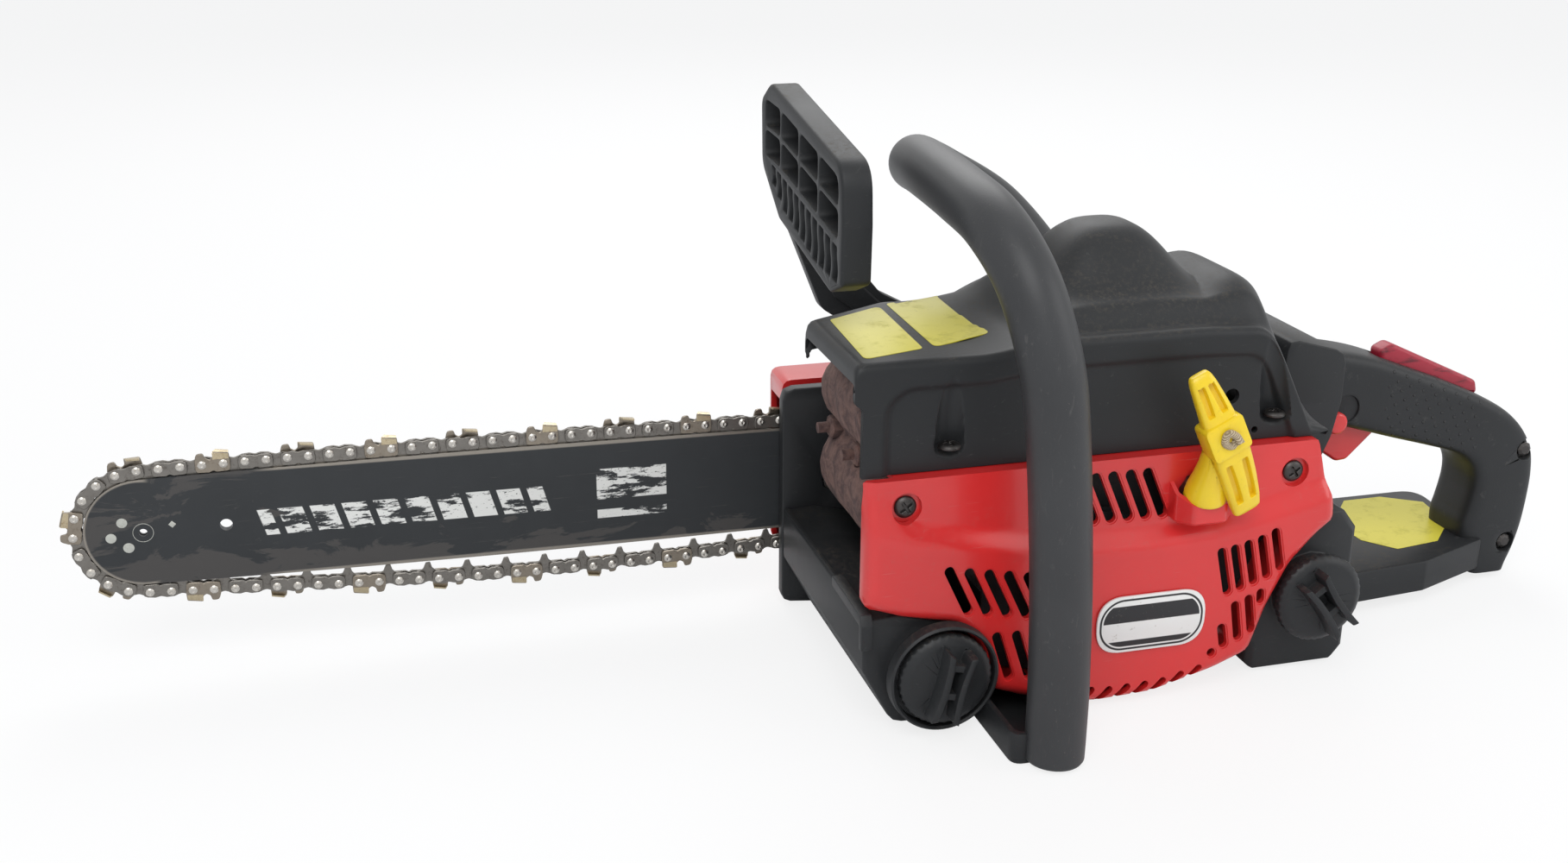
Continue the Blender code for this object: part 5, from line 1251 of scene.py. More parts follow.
def housing_slots():
    """Cooling slots in groups, each as (centre, length, angle, width)."""
    for i in range(5):
        yield (-9.2 + 8.4 * i, 103.0), 26.5, 113.6, 5.0
    for i in range(5):
        yield (-69.5 + 9.3 * i, 68.5 - 1.7 * i), 26.5, 115.5, 4.7
    for i in range(3):
        yield (-47.2 + 9.5 * i, 34.0 - 0.4 * i), 25.5, 108.4, 4.5
    for i, z in enumerate((62.8, 64.0, 65.8, 67.8, 70.8)):
        yield (59.8 + 6.6 * i, z), 24.5 - 0.6 * i, 103.2, 4.3
    yield (61.9, 30.0), 12.5, 101.0, 4.2
    yield (68.5, 36.8), 20.5, 100.0, 4.2
    yield (75.2, 39.5), 20.0, 100.0, 4.2
    yield (79.8, 48.0), 7.5, 95.0, 4.0
    yield (57.0, 22.0), 4.3, 90.0, 4.2


def housing_rise(x, z):
    """How far back the red side's face stands from the bulge: nothing below the fold, 5.5 mm above it."""
    past = z - np.interp(x, FOLD[:, 0], FOLD[:, 1])
    reach = 11.0 + 14.0 * (1.0 - smooth(x, -108.0, -84.0))
    return 5.5 * smooth(past / reach, 0.0, 1.0)


def resampled(outline, count):
    """The outline's points spaced evenly along it."""
    loop = np.vstack([outline, outline[:1]])
    lengths = np.concatenate([[0.0], np.cumsum(np.hypot(*np.diff(loop, axis=0).T))])
    even = np.linspace(0.0, lengths[-1], count, endpoint=False)
    return np.stack([np.interp(even, lengths, loop[:, 0]), np.interp(even, lengths, loop[:, 1])], axis=1)


def distance_to(outline, points):
    """Each point's distance to the nearest edge of an outline."""
    a, b = outline, np.roll(outline, -1, axis=0)
    way = b - a
    share = np.sum((points[:, None] - a) * way, axis=2) / np.maximum(np.sum(way * way, axis=1), 1e-9)
    foot = a + np.clip(share, 0.0, 1.0)[..., None] * way
    return np.hypot(*np.moveaxis(points[:, None] - foot, 2, 0)).min(axis=1)


def starter_housing():
    """The red side shell: its outline drawn in ring by ring to a point, each point at the bulge plus housing_rise and
    rolled back by a quarter circle near the rim. With it come the cup under the pull grip, the bosses behind the
    screws, and the dark screen behind the vents."""
    outline = resampled(rounded(HOUSING, 9), 240)
    tall = [(x, z + 40.0 if z > SEAM_Z - 1 else z, r) for x, z, r in HOUSING]
    rim = resampled(rounded(tall, 9), 160)
    centre, radius = np.array(HOUSING_MIDDLE), HOUSING_ROLL
    shares = 1.0 - np.concatenate([np.linspace(0.0, 0.10, 12), np.linspace(0.125, 1.0, 44)])
    rings = [on_plane(outline, -40.0, "XZ")]
    for share in shares:
        flat = centre + (outline - centre) * share
        short = np.clip(radius - distance_to(rim, flat), 0.0, radius)
        y = BULGE_Y + housing_rise(*flat.T) + radius - np.sqrt(radius**2 - short**2)
        rings.append(np.stack([flat[:, 0], y, flat[:, 1]], axis=1))
    body = surface("starter_housing_shell", rings, ends=False)
    hollowed(body)
    carve(body, box("mouth", (-125, LEFT_Y + WALL + 0.6, 40), (-98, -20, 130)))
    carve(body, box("muffler_room", (-130, -49.6, 60), (-38, -20, 130)))
    hollow = rounded([(31, -80, 1), (31, -91, 3), (37.5, -98, 4), (53, -98, 4), (59, -91, 3), (59, -80, 1)], 6)
    inner = drawn_in(hollow, 2.0)

    def tilted(points):
        return np.column_stack([points, 100.0 + (points[:, 1] + 98.0) * 0.58])

    lowest, foot = on_plane(drawn_in(hollow, 1.2), 90.6, "XY"), on_plane(hollow, 91.8, "XY")
    cup = surface("grip_cup", [lowest, foot, tilted(hollow), tilted(inner), on_plane(inner, 94.0, "XY")])
    done(cup, moulded_red(), "red_plastic", "powerhead", angle=32.0)
    bosses = [rod("boss", (x, LEFT_Y + 1.9, z), (x, LEFT_Y + 11.0, z), 8.4, 36) for x, z in HOUSING_SCREWS]
    done(merged("screw_bosses", bosses), moulded_red(), "red_plastic", "powerhead")
    base, way = np.array(STEM_BASE), stem_way()
    cutters = [
        rod(f"pocket_{x:.0f}", (x, -100, z), (x, LEFT_Y + POCKET_FLOOR, z), 7.0, 36) for x, z in HOUSING_SCREWS
    ]
    cutters.append(rod("stem_room", base - way * 9.0, base + way * 14.0, 10.4, 40))
    shallow, through = [], []
    for (x, z), length, angle, width in housing_slots():
        face = BULGE_Y + float(housing_rise(np.array([x]), np.array([z]))[0])
        shallow.append(slab("rim", slotted((x, z), length + 1.6, width + 1.5, angle), -100, face + 0.45))
        through.append(slab("slot", slotted((x, z), length, width, angle), *VENT_DEPTH))
    for i in range(LOW_VENTS):
        x = -14.0 + LOW_VENT_PITCH * i
        z = np.interp(x, (-36, 0, 29, 60), (14.5, 7.5, 8.0, 15.0))
        through.append(slab("slot", slotted((x, z), 10.0, 3.8, 48.0), *VENT_DEPTH))
    carve(body, *cutters, merged("slot_rims", shallow), merged("housing_slots", through))
    done(body, moulded_red(), "red_plastic", "powerhead", "starter_housing", angle=32.0)
    # Painted shade: a dark sheet behind the vents that stands in for the shade inside the housing.
    shade = inset([corner for corner in HOUSING if corner[0] > -56] + [(-56, SEAM_Z, 2)], 4.5)
    shade_sheet = slab("vent_shade_sheet", rounded(shade, 5), -66.5, -64.9)
    carve(shade_sheet, rod("hub", (3, -70, 67), (3, -60, 67), 5.5, 32))
    done(shade_sheet, moulded_black(0.50), "black_plastic", "powerhead")


def hollowed(obj):
    """Gives a skin its wall, on the inner side."""
    wall = obj.modifiers.new("wall", "SOLIDIFY")
    wall.thickness = WALL * MM
    wall.offset = 1.0 if faces_inwards(obj) else -1.0
    bake(obj)
    put_right(obj)


def put_right(obj):
    """Turns all faces of a closed mesh outwards."""
    bm = bmesh.new()
    bm.from_mesh(obj.data)
    bmesh.ops.recalc_face_normals(bm, faces=bm.faces)
    bm.to_mesh(obj.data)
    bm.free()


def stem_way():
    """The direction from the starter cup to the middle of the pull grip."""
    return unit(np.subtract(GRIP_CENTRE, STEM_BASE))


CLUTCH_COVER = [
    (-107, 24, 8), (-107, 119, 5), (15, 119, 12), (66, 108, 16),
    (82, 84, 16), (78, 38, 20), (52, 16, 20), (-60, 12, 12),
]


def clutch_cover():
    """The chain's cover: its outline drawn in ring by ring, rolled over by a quarter circle at the rim, with a panel
    pressed in by a smooth step except round the nuts, given a wall, and open at the front for the chain."""
    outline = resampled(rounded(CLUTCH_COVER, 9), 240)
    nuts = []
    for node in ("bar_nut_front", "bar_nut_rear"):
        low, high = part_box(node)
        nuts.append(((low[0] + high[0]) / 2 / MM, (low[2] + high[2]) / 2 / MM))
    centre, radius = np.array(CLUTCH_MIDDLE), CLUTCH_ROLL
    shares = 1.0 - np.concatenate([np.linspace(0.0, 0.14, 16), np.linspace(0.16, 1.0, 60)])
    rings = [on_plane(outline, BAR_Y + 2.4, "XZ")]
    for share in shares:
        flat = centre + (outline - centre) * share
        inside = distance_to(outline, flat)
        short = np.clip(radius - inside, 0.0, radius)
        dip = 2.2 * smooth(inside, 9.0, 13.0)
        for nut in nuts:
            dip = dip * smooth(np.hypot(*(flat - nut).T), 11.0, 16.0)
        y = CLUTCH_FACE - dip - radius + np.sqrt(radius**2 - short**2)
        rings.append(np.stack([flat[:, 0], y, flat[:, 1]], axis=1))
    body = surface("clutch_cover_shell", rings, ends=False)
    hollowed(body)
    carve(body, box("chain_mouth", (-120, 40, 27), (-99, 85, 108)), box("chip_outlet", (-70, 50, 0), (-10, 84, 19)))
    return done(body, moulded_red(), "red_plastic", "powerhead", "clutch_cover", angle=32.0)


def muffler():
    """Two pressed shells with a waist between them: each ring is a rounded box drawn in by a smooth profile of
    height, and the front face is dented by low sine waves."""
    low_x, high_x, waist = -101.0, -41.6, 112.0
    levels = np.array(
        [
            74.0, 75.2, 77.5, 80.0, 86.0, 92.0, 98.0, 104.0, 108.0, waist, 116.0, 120.0, 127.0, 134.0, 139.0, 143.0,
            146.5, 148.5
        ]
    )
    pulls = np.array([9.0, 6.2, 4.0, 2.5, 0.6, 0.0, 0.4, 2.0, 5.2, 8.0, 5.2, 2.0, 0.4, 0.0, 1.2, 3.0, 6.4, 10.0])
    dense = np.linspace(74.0, 148.5, 72)
    rings = []
    for z, pull in zip(dense, np.interp(dense, levels, pulls)):
        ring = rounded(
            [
                (low_x + pull, -46.0 + pull, 12), (high_x, -46.0 + pull, 5), (high_x, 27.0 - pull, 5),
                (low_x + pull, 27.0 - pull, 12)
            ],
            10
        )
        ring = np.vstack([np.linspace(a, b, 7, endpoint=False) for a, b in zip(ring, np.roll(ring, -1, axis=0))])
        front = 1.0 - smooth(ring[:, 0], -98.0, -84.0)
        ring[:, 0] += front * (0.9 + 0.9 * np.sin(0.21 * ring[:, 1] + 1.0) * np.sin(0.16 * z))
        rings.append(on_plane(ring, z, "XY"))
    body = surface("muffler_shells", rings)
    joined(body, box("seam", (-73.3, -48.7, 83.7), (-70.4, 29.3, 140.7), 0.7))
    joined(body, box("outlet_hood", (-98, -56, 82), (-84, -40, 98), 1.5))
    carve(body, box("outlet", (-96, -60, 84), (-86, -41, 96)))
    seats = []
    for y in (-26.0, 12.0):
        seats.append(rod(f"seat_{y:.0f}", (-120, y, waist), (-92.4, y, waist), 6.4, 28))
    carve(body, *seats)
    carve(body, *[rod(f"hole_{y:.0f}", (-120, y, waist), (-88, y, waist), 3.0, 20) for y in (-26.0, 12.0)])
    done(body, rusted(), "rusty_steel", "powerhead", "muffler")
    for name, y in (("muffler_bolt_near", -26.0), ("muffler_bolt_far", 12.0)):
        head = turned(
            name + "_head", [(0, -98.6), (2.6, -98.6), (5.0, -98.4), (5.7, -97.4), (5.7, -92.9), (0, -92.9)],
            (0, y, waist), (1, 0, 0), 6
        )
        shank = rod("shank", (-104, y, waist), (-88.4, y, waist), 2.6, 20)
        done(joined(head, shank), rusted(), "rusty_steel", "powerhead", name, angle=25.0)


def cover_panels():
    """Plain stuck-on panels: each is a patch between four corners, laid on the cover's crown and given its
    film's thickness. Its corners are rounded by pulling the rim in."""
    film = sizes().label / MM
    for name, corners in (
        ("front_panel", ((-109.0, -71.5), (-80.0, -63.0), (-77.5, 4.0), (-106.0, -11.5))),
        ("rear_panel", ((-74.5, -62.0), (-45.5, -52.0), (-43.5, 23.0), (-73.0, 7.0))),
    ):
        outline = rounded([(*corner, 3.0) for corner in corners], 6)
        centre = outline.mean(axis=0)
        share = np.linspace(0.0, 1.0, 14)[:, None, None]
        points = centre + (outline - centre) * share
        z = cover_height(points[..., 0], points[..., 1])
        top = np.stack([points[..., 0], points[..., 1], z + film], axis=-1)
        under = top[::-1].copy()
        under[..., 2] -= 2.0 * film
        obj = surface(name, np.vstack([top, under]), ends=False)
        done(obj, stuck_panel(), "badge", "powerhead")
    corners = rounded(
        [
            (216, 51, 1), (239, 51, 1), (258, 38, 1), (253, 9, 1), (233, -11, 1), (206, -15, 1), (194, 0, 1),
            (193, 25, 1)
        ],
        4
    )
    obj = slab("guard_panel", corners, 25.4 - film, 25.4 + film, 0.08, "XY", 2)
    done(obj, stuck_panel(), "badge", "powerhead")


def badge():
    """A pill-shaped plate whose crown falls by an eighth of a circle at its rim."""
    outline = rounded(
        [
            (BADGE[0] - 27, BADGE[1] - 14, 13), (BADGE[0] + 27, BADGE[1] - 14, 13),
            (BADGE[0] + 27, BADGE[1] + 14, 13), (BADGE[0] - 27, BADGE[1] + 14, 13)
        ],
        12
    )
    obj = slab("badge_face", outline, BULGE_Y - 1.6, BULGE_Y - 0.3, 0.5)
    return done(obj, badge_print(), "badge", "powerhead", "badge_plate")


# ---------------------------------------------------------------- handles


def front_handle():
    """A tube along a smooth curve through the handle's knots, a little thinner at its foot, and the channel that
    holds the foot."""
    left = -126.0
    route = [
        (-36.8, left, 1.2), (-36.6, left, 14.0), (-36.8, left, 40.0), (-39.0, left, 90.0), (-44.0, left, 150.0),
        (-48.5, -124.5, 182.0), (-55.0, -113.0, 212.0), (-60.0, -88.0, 230.0), (-60.0, -50.0, 235.0),
        (-57.0, 0.0, 236.0), (-50.0, 34.0, 232.0), (-32.0, 50.0, 223.0), (0.0, 56.0, 203.0),
        (28.0, 57.0, 172.0), (39.0, 54.0, 150.0), (41.5, 52.0, 136.5),
    ]
    path = spline(route, 260)
    swell = np.interp(np.arange(len(path)), (0, 1, 3, 18, 40), (TUBE_R - 2.4, TUBE_R - 0.8, TUBE_R, TUBE_R, TUBE_R))
    done(swept("handle_tube", path, swell, 40), coated_tube(), "rubber", "powerhead", "front_handle")
    foot = rounded([(-56.0, -126.0, 6), (-29.0, -126.0, 6), (-27.5, -42.0, 1), (-56.5, -42.0, 1)], 7)
    base = slab("handle_foot_moulding", foot, 0.3, 15.0, 1.0, "XY")
    carve(
        base,
        slab(
            "channel", rounded([(-53.4, -123.4, 4), (-31.6, -123.4, 4), (-30.2, -44.6, 1), (-53.8, -44.6, 1)], 5),
            3.0, 20.0, 0.0, "XY"
        )
    )
    done(base, moulded_black(0.44), "black_plastic", "powerhead", "handle_foot")


def hand_guard():
    """The guard's panel is an outline carried along X. Its pockets are quadrilaterals between two rows of
    points, and its slots follow a sine wave across their width."""
    front, back = -111.0, -97.0
    outline = rounded(
        [
            (-43, 196, 4), (-44, 222, 14), (-42, 248, 20), (74, 266, 14), (91, 256, 8), (90, 224, 12),
            (58, 203, 10), (-26, 189, 5)
        ],
        9
    )
    body = slab("guard_panel_moulding", outline, front, back, 1.8, "YZ", 4)

    def at(column, row):
        return -38.0 + 124.0 * column, 242.0 + 18.0 * min(column, 1.0) - row

    pockets = []
    for i in range(4):
        for j in range(2):
            a, b = at(i / 4 + 0.008, 14.5 * j), at((i + 1) / 4 - 0.012, 14.5 * j)
            if i == 3:
                b = (b[0] - 2.0, b[1] - 3.0)
            near = 8.0 if i == 0 and j == 0 else 3.6
            corners = [(a[0], a[1] - 12.7, 3.6), (b[0], b[1] - 12.7, 3.6), (*b, 3.6), (*a, near)]
            pockets.append(slab(f"pocket_{i}_{j}", rounded(corners, 4), front - 5, back - 3, 0, "YZ"))
    for i in range(11):
        a, b = at(i / 12.4 + 0.010, 30.5), at(i / 12.4 + 0.064, 30.5)
        depth = 19.0 - 0.9 * abs(i - 3) if i < 8 else 15.0 - 3.0 * (i - 8)
        t = np.linspace(0.0, 1.0, 9)
        wave = 0.9 * np.sin(2.0 * np.pi * t + 0.8)
        left = np.stack([a[0] + wave, a[1] - depth * t], axis=1)
        right = np.stack([b[0] + wave, b[1] - depth * t], axis=1)
        pockets.append(slab(f"slot_{i}", np.vstack([left, right[::-1]]), front - 5, back - 3, 0, "YZ"))
    carve(body, merged("guard_pockets", pockets))
    x, z = -44.0, 140.0
    arm = [
        (-108.5, 226, 4), (-109.5, 204, 4), (-92, 160, 10), (x - 14, z - 3, 4), (x - 10, z - 12, 8),
        (x + 12, z - 12, 8), (x + 12, z + 10, 8), (-62, 166, 12), (-72, 178, 8), (-97.5, 212, 3), (-97.5, 226, 2),
    ]
    rib = [(-104, 212, 2), (-86, 166, 6), (x - 8, z + 2, 4), (x - 3, z + 7, 4), (-78, 176, 6), (-98, 214, 2)]
    joined(body, slab("guard_arm", rounded(arm, 6), 47.8, 55.8))
    joined(body, slab("arm_rib", rounded(rib, 5), 45.8, 48.8, 0.6))
    carve(body, rod("eye", (x, 40, z), (x, 70, z), 4.3, 32))
    eased(body, 0.7, 45.0, 2)
    return done(body, moulded_black(0.50), "black_plastic", "guard", "hand_guard")


def rear_handle():
    """The grip and its bow: sections between an outer and an inner line, each a superellipse whose sine and cosine
    are raised to GRIP_SQUARENESS, with slots for the trigger and the lock-out, the button's hole and the screws'
    pockets."""
    outer = np.array([
        (150, 137), (166, 134.5), (184, 130), (207, 121.5), (230, 112.5), (250, 103.5), (266, 94.5), (277, 84.5),
        (284, 73), (286.6, 60), (286.6, 46), (285.2, 30), (282.0, 17), (278.5, 9), (277, 4.0),
    ])
    inner = np.array([
        (150, 99), (163, 96), (180, 91), (200, 85), (221, 79), (238, 73.5), (246, 67.5), (249.5, 60.5),
        (250, 53), (249, 46), (247.5, 39), (246, 31), (248, 16), (254, 7), (255, 4.0),
    ])
    outer, inner = spline(outer, 120), spline(inner, 120)
    angle = np.linspace(0.0, 2.0 * np.pi, 56, endpoint=False)
    c, s = np.cos(angle), np.sin(angle)
    c, s = np.sign(c) * np.abs(c) ** GRIP_SQUARENESS, np.sign(s) * np.abs(s) ** GRIP_SQUARENESS
    middle, half = (outer + inner) / 2, (outer - inner) / 2
    flat = middle[:, None] + half[:, None] * c[None, :, None]
    width = (GRIP_RIGHT - GRIP_LEFT) / 2
    y = np.broadcast_to((GRIP_RIGHT + GRIP_LEFT) / 2 + width * s, flat.shape[:2])
    body = surface("rear_handle_moulding", np.stack([flat[..., 0], y, flat[..., 1]], axis=-1))
    joined(body, box("tongue", (134.6, -11, 98), (160, 19, 131)))
    middle = GRIP_MIDDLE
    carve(body, box("trigger_slot", (140, middle - 6.6, 80), (196, middle + 6.6, 112)))
    carve(body, slab("lockout_slot", [(186.5, 108), (246, 86), (257, 112), (189.5, 142)], middle - 6.6, middle + 6.6))
    x, z = STOP_BUTTON
    cutters = [
        rod("button_hole", (x, GRIP_LEFT - 5, z), (x, GRIP_LEFT + 8, z), 6.2, 32),
        slab("button_dish", slotted((x + 4.5, z + 1.6), 27.0, 15.0, 20.0, 12), GRIP_LEFT - 5, GRIP_LEFT + 1.6),
    ]
    for u, v in ((278.0, 73.0), (274.0, 21.0)):
        cutters.append(rod(f"screw_hole_{v:.0f}", (u, GRIP_LEFT - 5, v), (u, GRIP_LEFT + 6, v), 5.6, 32))
    for cutter in cutters:
        carve(body, cutter)
    eased(body, 0.5, 52.0, 2)
    done(body, grip_plastic(), "black_plastic", "powerhead", "rear_handle")


@finish
def grip_plastic():
    """The rear grip's plastic: moulded black with rows of small raised dots on the grip's sides."""
    f = Finish("grip_plastic")
    x, _, z = f.axes()
    along = x * 0.93 - z * 0.36
    across = x * 0.36 + z * 0.93
    row = (across * 830.0).sine()
    column = (along * 760.0).sine()
    field = f.band(x, 190.0 * MM, 246.0 * MM, 3.0 * MM) * f.between(z, 74.0 * MM, 80.0 * MM)
    dots = f.between(row * column, 0.74, 0.92) * field
    broad = f.noise(45, 3)
    scuff = f.between(f.noise(7, 6, 0.75), 0.58, 0.72)
    dark = tuple(colours().black)
    base = f.mix(dark, tuple(c * 1.4 for c in dark), broad)
    # The scuffs are real wear; the raised dots' lighter tint in the same mix is a painted highlight on them.
    base = f.mix(base, (0.11, 0.105, 0.10), scuff * 0.30 + dots * 0.12)
    dust = f.between(f.noise(2.4, 5, 0.7), 0.5, 0.76) * f.between(f.up(), 0.4, 0.95)
    base = f.mix(base, (0.16, 0.13, 0.095), dust * sizes().dust * 0.5)
    lift = f.bump(dots, 0.7, f.bump(f.noise(0.7, 2), 0.035))
    return f.shade(
        base_color=base, roughness=0.40 + scuff * 0.14 + broad * 0.06, specular_ior_level=0.26, normal=lift
    )


def rear_guard():
    base = rounded(
        [
            (139, -66, 8), (168, -36, 6), (212, -32, 8), (258, -14.5, 4), (262, 20, 6), (266, 57, 12),
            (150, 58, 10), (139, 48, 4)
        ],
        7
    )
    floor = slab("rear_guard_moulding", base, 8.0, 25.4, 1.6, "XY")
    carve(floor, box("under", (144, -24, 0), (226, 52, 21)))
    joined(floor, box("foot", (212, 24, 0), (258, 55, 10), 2.0))
    done(eased(floor, 0.5, 50.0, 2), moulded_black(0.44), "black_plastic", "powerhead", "rear_guard")


def controls():
    """The trigger and lock-out are outlines carried across with rolled rims; the button is turned."""
    middle = GRIP_MIDDLE
    blade = rounded(
        [
            (145.5, 95, 3), (150, 88, 4), (172, 72.5, 5), (178, 73, 4), (193.5, 88, 3), (190, 101, 3),
            (163, 108, 6), (147, 108, 5)
        ],
        7
    )
    trigger = slab("trigger_blade", blade, middle - 5.4, middle + 5.4, 2.0, "XZ", 5)
    carve(trigger, rod("eye", (152, -20, 102), (152, 30, 102), 2.4, 24))
    done(trigger, moulded_red(), "red_plastic", "trigger", "throttle_trigger")
    lever = rounded(
        [(191.5, 110, 2), (190.5, 131.0, 3), (197, 134.2, 5), (250, 110, 4), (252, 102.5, 3), (203, 108.5, 3)], 7
    )
    lockout = slab("lockout_blade", lever, middle - 5.4, middle + 5.4, 2.0, "XZ", 5)
    carve(lockout, rod("eye", (194, -20, 117), (194, 30, 117), 1.6, 24))
    done(lockout, worn_red(), "red_plastic", "lockout", "lockout_lever")
    x, z = STOP_BUTTON
    profile = [
        (0, 10.0), (3.6, 10.0), (4.5, 9.85), (5.2, 9.4), (5.6, 8.6), (5.6, 6.0), (4.6, 6.0), (4.6, -3.0), (0, -3.0)
    ]
    done(
        turned("button_cap", profile, (x, GRIP_LEFT, z), (0, -1, 0), 40), moulded_red(), "red_plastic", "button",
        "stop_button"
    )


# ---------------------------------------------------------------- starter, caps and screws


def starter():
    """The pull grip: a bowed bar through oval rings, its two arms slotted, on a stem that flares to the cup."""
    way = stem_way()
    stem = turned(
        "grip_stem",
        [
            (0, 31), (5.8, 31), (6.0, 25), (6.5, 18), (7.4, 12), (8.6, 6.5), (9.5, 3.0), (9.8, 1.2), (9.6, 0.3),
            (9.0, 0), (3.2, 0), (3, 0.4), (3, 12), (0, 12)
        ],
        STEM_BASE, way, 48,
    )
    along = unit((-0.43, 0.0, 0.90))
    middle = np.array(GRIP_CENTRE)
    facing = unit(way * 0.30 + np.array((-0.16, -0.80, 0.10)))
    side = unit(np.cross(along, facing))
    up = unit(np.cross(side, along))
    stations = np.array([
        (-43, 3.6, 11.0), (-42, 5.2, 13.0), (-36, 6.2, 14.6), (-24, 7.0, 16.4), (-11, 7.6, 17.6), (0, 7.8, 17.4),
        (10, 7.4, 15.6), (18, 6.8, 13.8), (26, 6.0, 11.8), (29.5, 5.2, 10.2), (31, 3.4, 8.2),
    ])
    distance = np.linspace(-43.0, 31.0, 64)
    thick = np.interp(distance, stations[:, 0], stations[:, 1])
    wide = np.interp(distance, stations[:, 0], stations[:, 2])
    angle = np.linspace(0, 2 * np.pi, 36, endpoint=False)
    c, s = np.cos(angle), np.sin(angle)
    c, s = np.sign(c) * np.abs(c) ** 0.55, np.sign(s) * np.abs(s) ** 0.55

    def bow(d):
        return 2.4 - (np.asarray(d) / 38.0) ** 2 * 5.0

    centre = middle + along * distance[:, None] + up * bow(distance)[:, None]
    rings = centre[:, None] + side * (wide[:, None, None] / 2 * c[None, :, None]) + up * (
        thick[:, None, None] / 2 * s[None, :, None]
    )
    bar = surface("starter_grip_moulding", rings)
    joined(bar, stem)
    axes = (along, side, up)
    collar = rounded([(-8.4, -9.4, 2.6), (8.4, -9.4, 2.6), (8.4, 9.4, 2.6), (-8.4, 9.4, 2.6)], 6)
    joined(bar, block_in("collar", collar, middle, axes, -4.0, 7.2, 0.9))
    pocket = middle + up * 4.5
    well = rounded([(-5.8, -5.6, 1.8), (5.8, -5.6, 1.8), (5.8, 5.6, 1.8), (-5.8, 5.6, 1.8)], 5)
    carve(bar, block_in("knot_pocket", well, pocket, axes, -5.0, 8.0))
    slots = []
    for start, end, spread in ((10.5, 27.5, (3.4, 2.2)), (-10.5, -38.0, (4.1, 3.2))):
        for lean in (-1, 1):
            steps = np.linspace(start, end, 12)
            offset = lean * np.linspace(*spread, 12)
            half = 1.55 * np.sqrt(
                np.clip(1.0 - ((steps - (start + end) / 2) / ((end - start) / 2 + 0.01)) ** 8, 0.0, 1.0)
            )
            spine = middle + along * steps[:, None] + side * offset[:, None] + up * bow(steps)[:, None]
            floor = np.interp(steps, stations[:, 0], stations[:, 1])[:, None] / 2 - 3.4
            rim = [spine + side * half[:, None], spine - side * half[:, None]]
            low = [r + up * floor for r in rim]
            high = [r + up * 9.0 for r in rim]
            slots.append(surface("slot", np.stack([low[0], low[1], high[1], high[0]], axis=1)[1:-1]))
    carve(bar, merged("grip_slots", slots))
    eased(bar, 0.45, 48.0, 2)
    done(bar, moulded_yellow(), "yellow_plastic", "grip", "starter_grip")

    angle = np.linspace(0.0, 2.0 * np.pi * 2.25, 60)
    turns = np.stack(
        [3.0 * np.cos(angle) + 0.5 * np.cos(3 * angle), 2.8 * np.sin(angle), -1.2 + 0.40 * angle], axis=1
    )
    coil = pocket + turns[:, :1] * along + turns[:, 1:2] * side + turns[:, 2:] * up
    tail = coil[-1] + np.linspace(0.1, 1.0, 8)[:, None] * (up * 1.6 - along * 2.6)
    start = pocket - up * 3.2 + np.linspace(0.0, 0.9, 4)[:, None] * (coil[0] - pocket + up * 3.2)
    path = spline(np.vstack([start, coil[::3], tail]), 160)
    done(swept("cord_knot", path, 1.75, 12), twisted_cord(), "rope", "grip", "rope_knot")

    line = np.array(STEM_BASE) + np.linspace(-7.0, 5.0, 12)[:, None] * way
    done(swept("cord_stub", line, 1.75, 20), twisted_cord(), "rope", "powerhead", "starter_rope")


def filler_cap(name, centre, face, body, turn):
    """A screw cap: a turned rim with a finely ribbed edge, and two parallel fins with a web to turn it by."""
    x, z = centre
    profile = [
        (0, 7), (CAP_R - 4.4, 7), (CAP_R - 3.0, 6.7), (CAP_R - 0.8, 5.4), (CAP_R, 4.6), (CAP_R, 1.0),
        (CAP_R - 0.6, 0.4), (NECK_R - 0.6, 0.4), (NECK_R - 0.6, -5.3), (NECK_R - 2.7, -5.3), (NECK_R - 2.7, -9.0),
        (0, -9.0)
    ]
    angle = np.linspace(0.0, 2 * np.pi, 144, endpoint=False)
    rings = []
    for radius, out in profile:
        ribs = 0.22 * (np.cos(36 * angle) - 1.0) if radius > CAP_R - 0.3 else 0.0 * angle
        rings.append(
            np.stack(
                [
                    x + (radius + ribs) * np.cos(angle), np.full(len(angle), face - out),
                    z + (radius + ribs) * np.sin(angle)
                ],
                axis=1
            )
        )
    cap = surface(f"{name}_moulding", rings, ends=False)
    lean = math.radians(turn)
    axes = ((math.sin(lean), 0.0, math.cos(lean)), (math.cos(lean), 0.0, -math.sin(lean)), (0.0, -1.0, 0.0))
    along = np.linspace(-1.0, 1.0, 13)
    for side in (-1, 1):
        inner, outer = 2.3 + 1.5 * along**2, 5.6 + 1.2 * along**2
        edge = np.vstack(
            [np.stack([16.5 * along, side * outer], axis=1), np.stack([15.5 * along, side * inner], axis=1)[::-1]]
        )
        joined(cap, block_in("fin", edge[:: -side], (x, face, z), axes, 5.0, 16.5, 0.6))
    for place in (-4.0, 9.5):
        web = np.array([(place - 1.6, -3.6), (place + 1.6, -3.6), (place + 1.6, 3.6), (place - 1.6, 3.6)])
        joined(cap, block_in("web", web, (x, face, z), axes, 5.0, 13.5))
    eased(cap, 0.4, 55.0, 2)
    done(cap, moulded_black(0.40), "black_plastic", body, name)


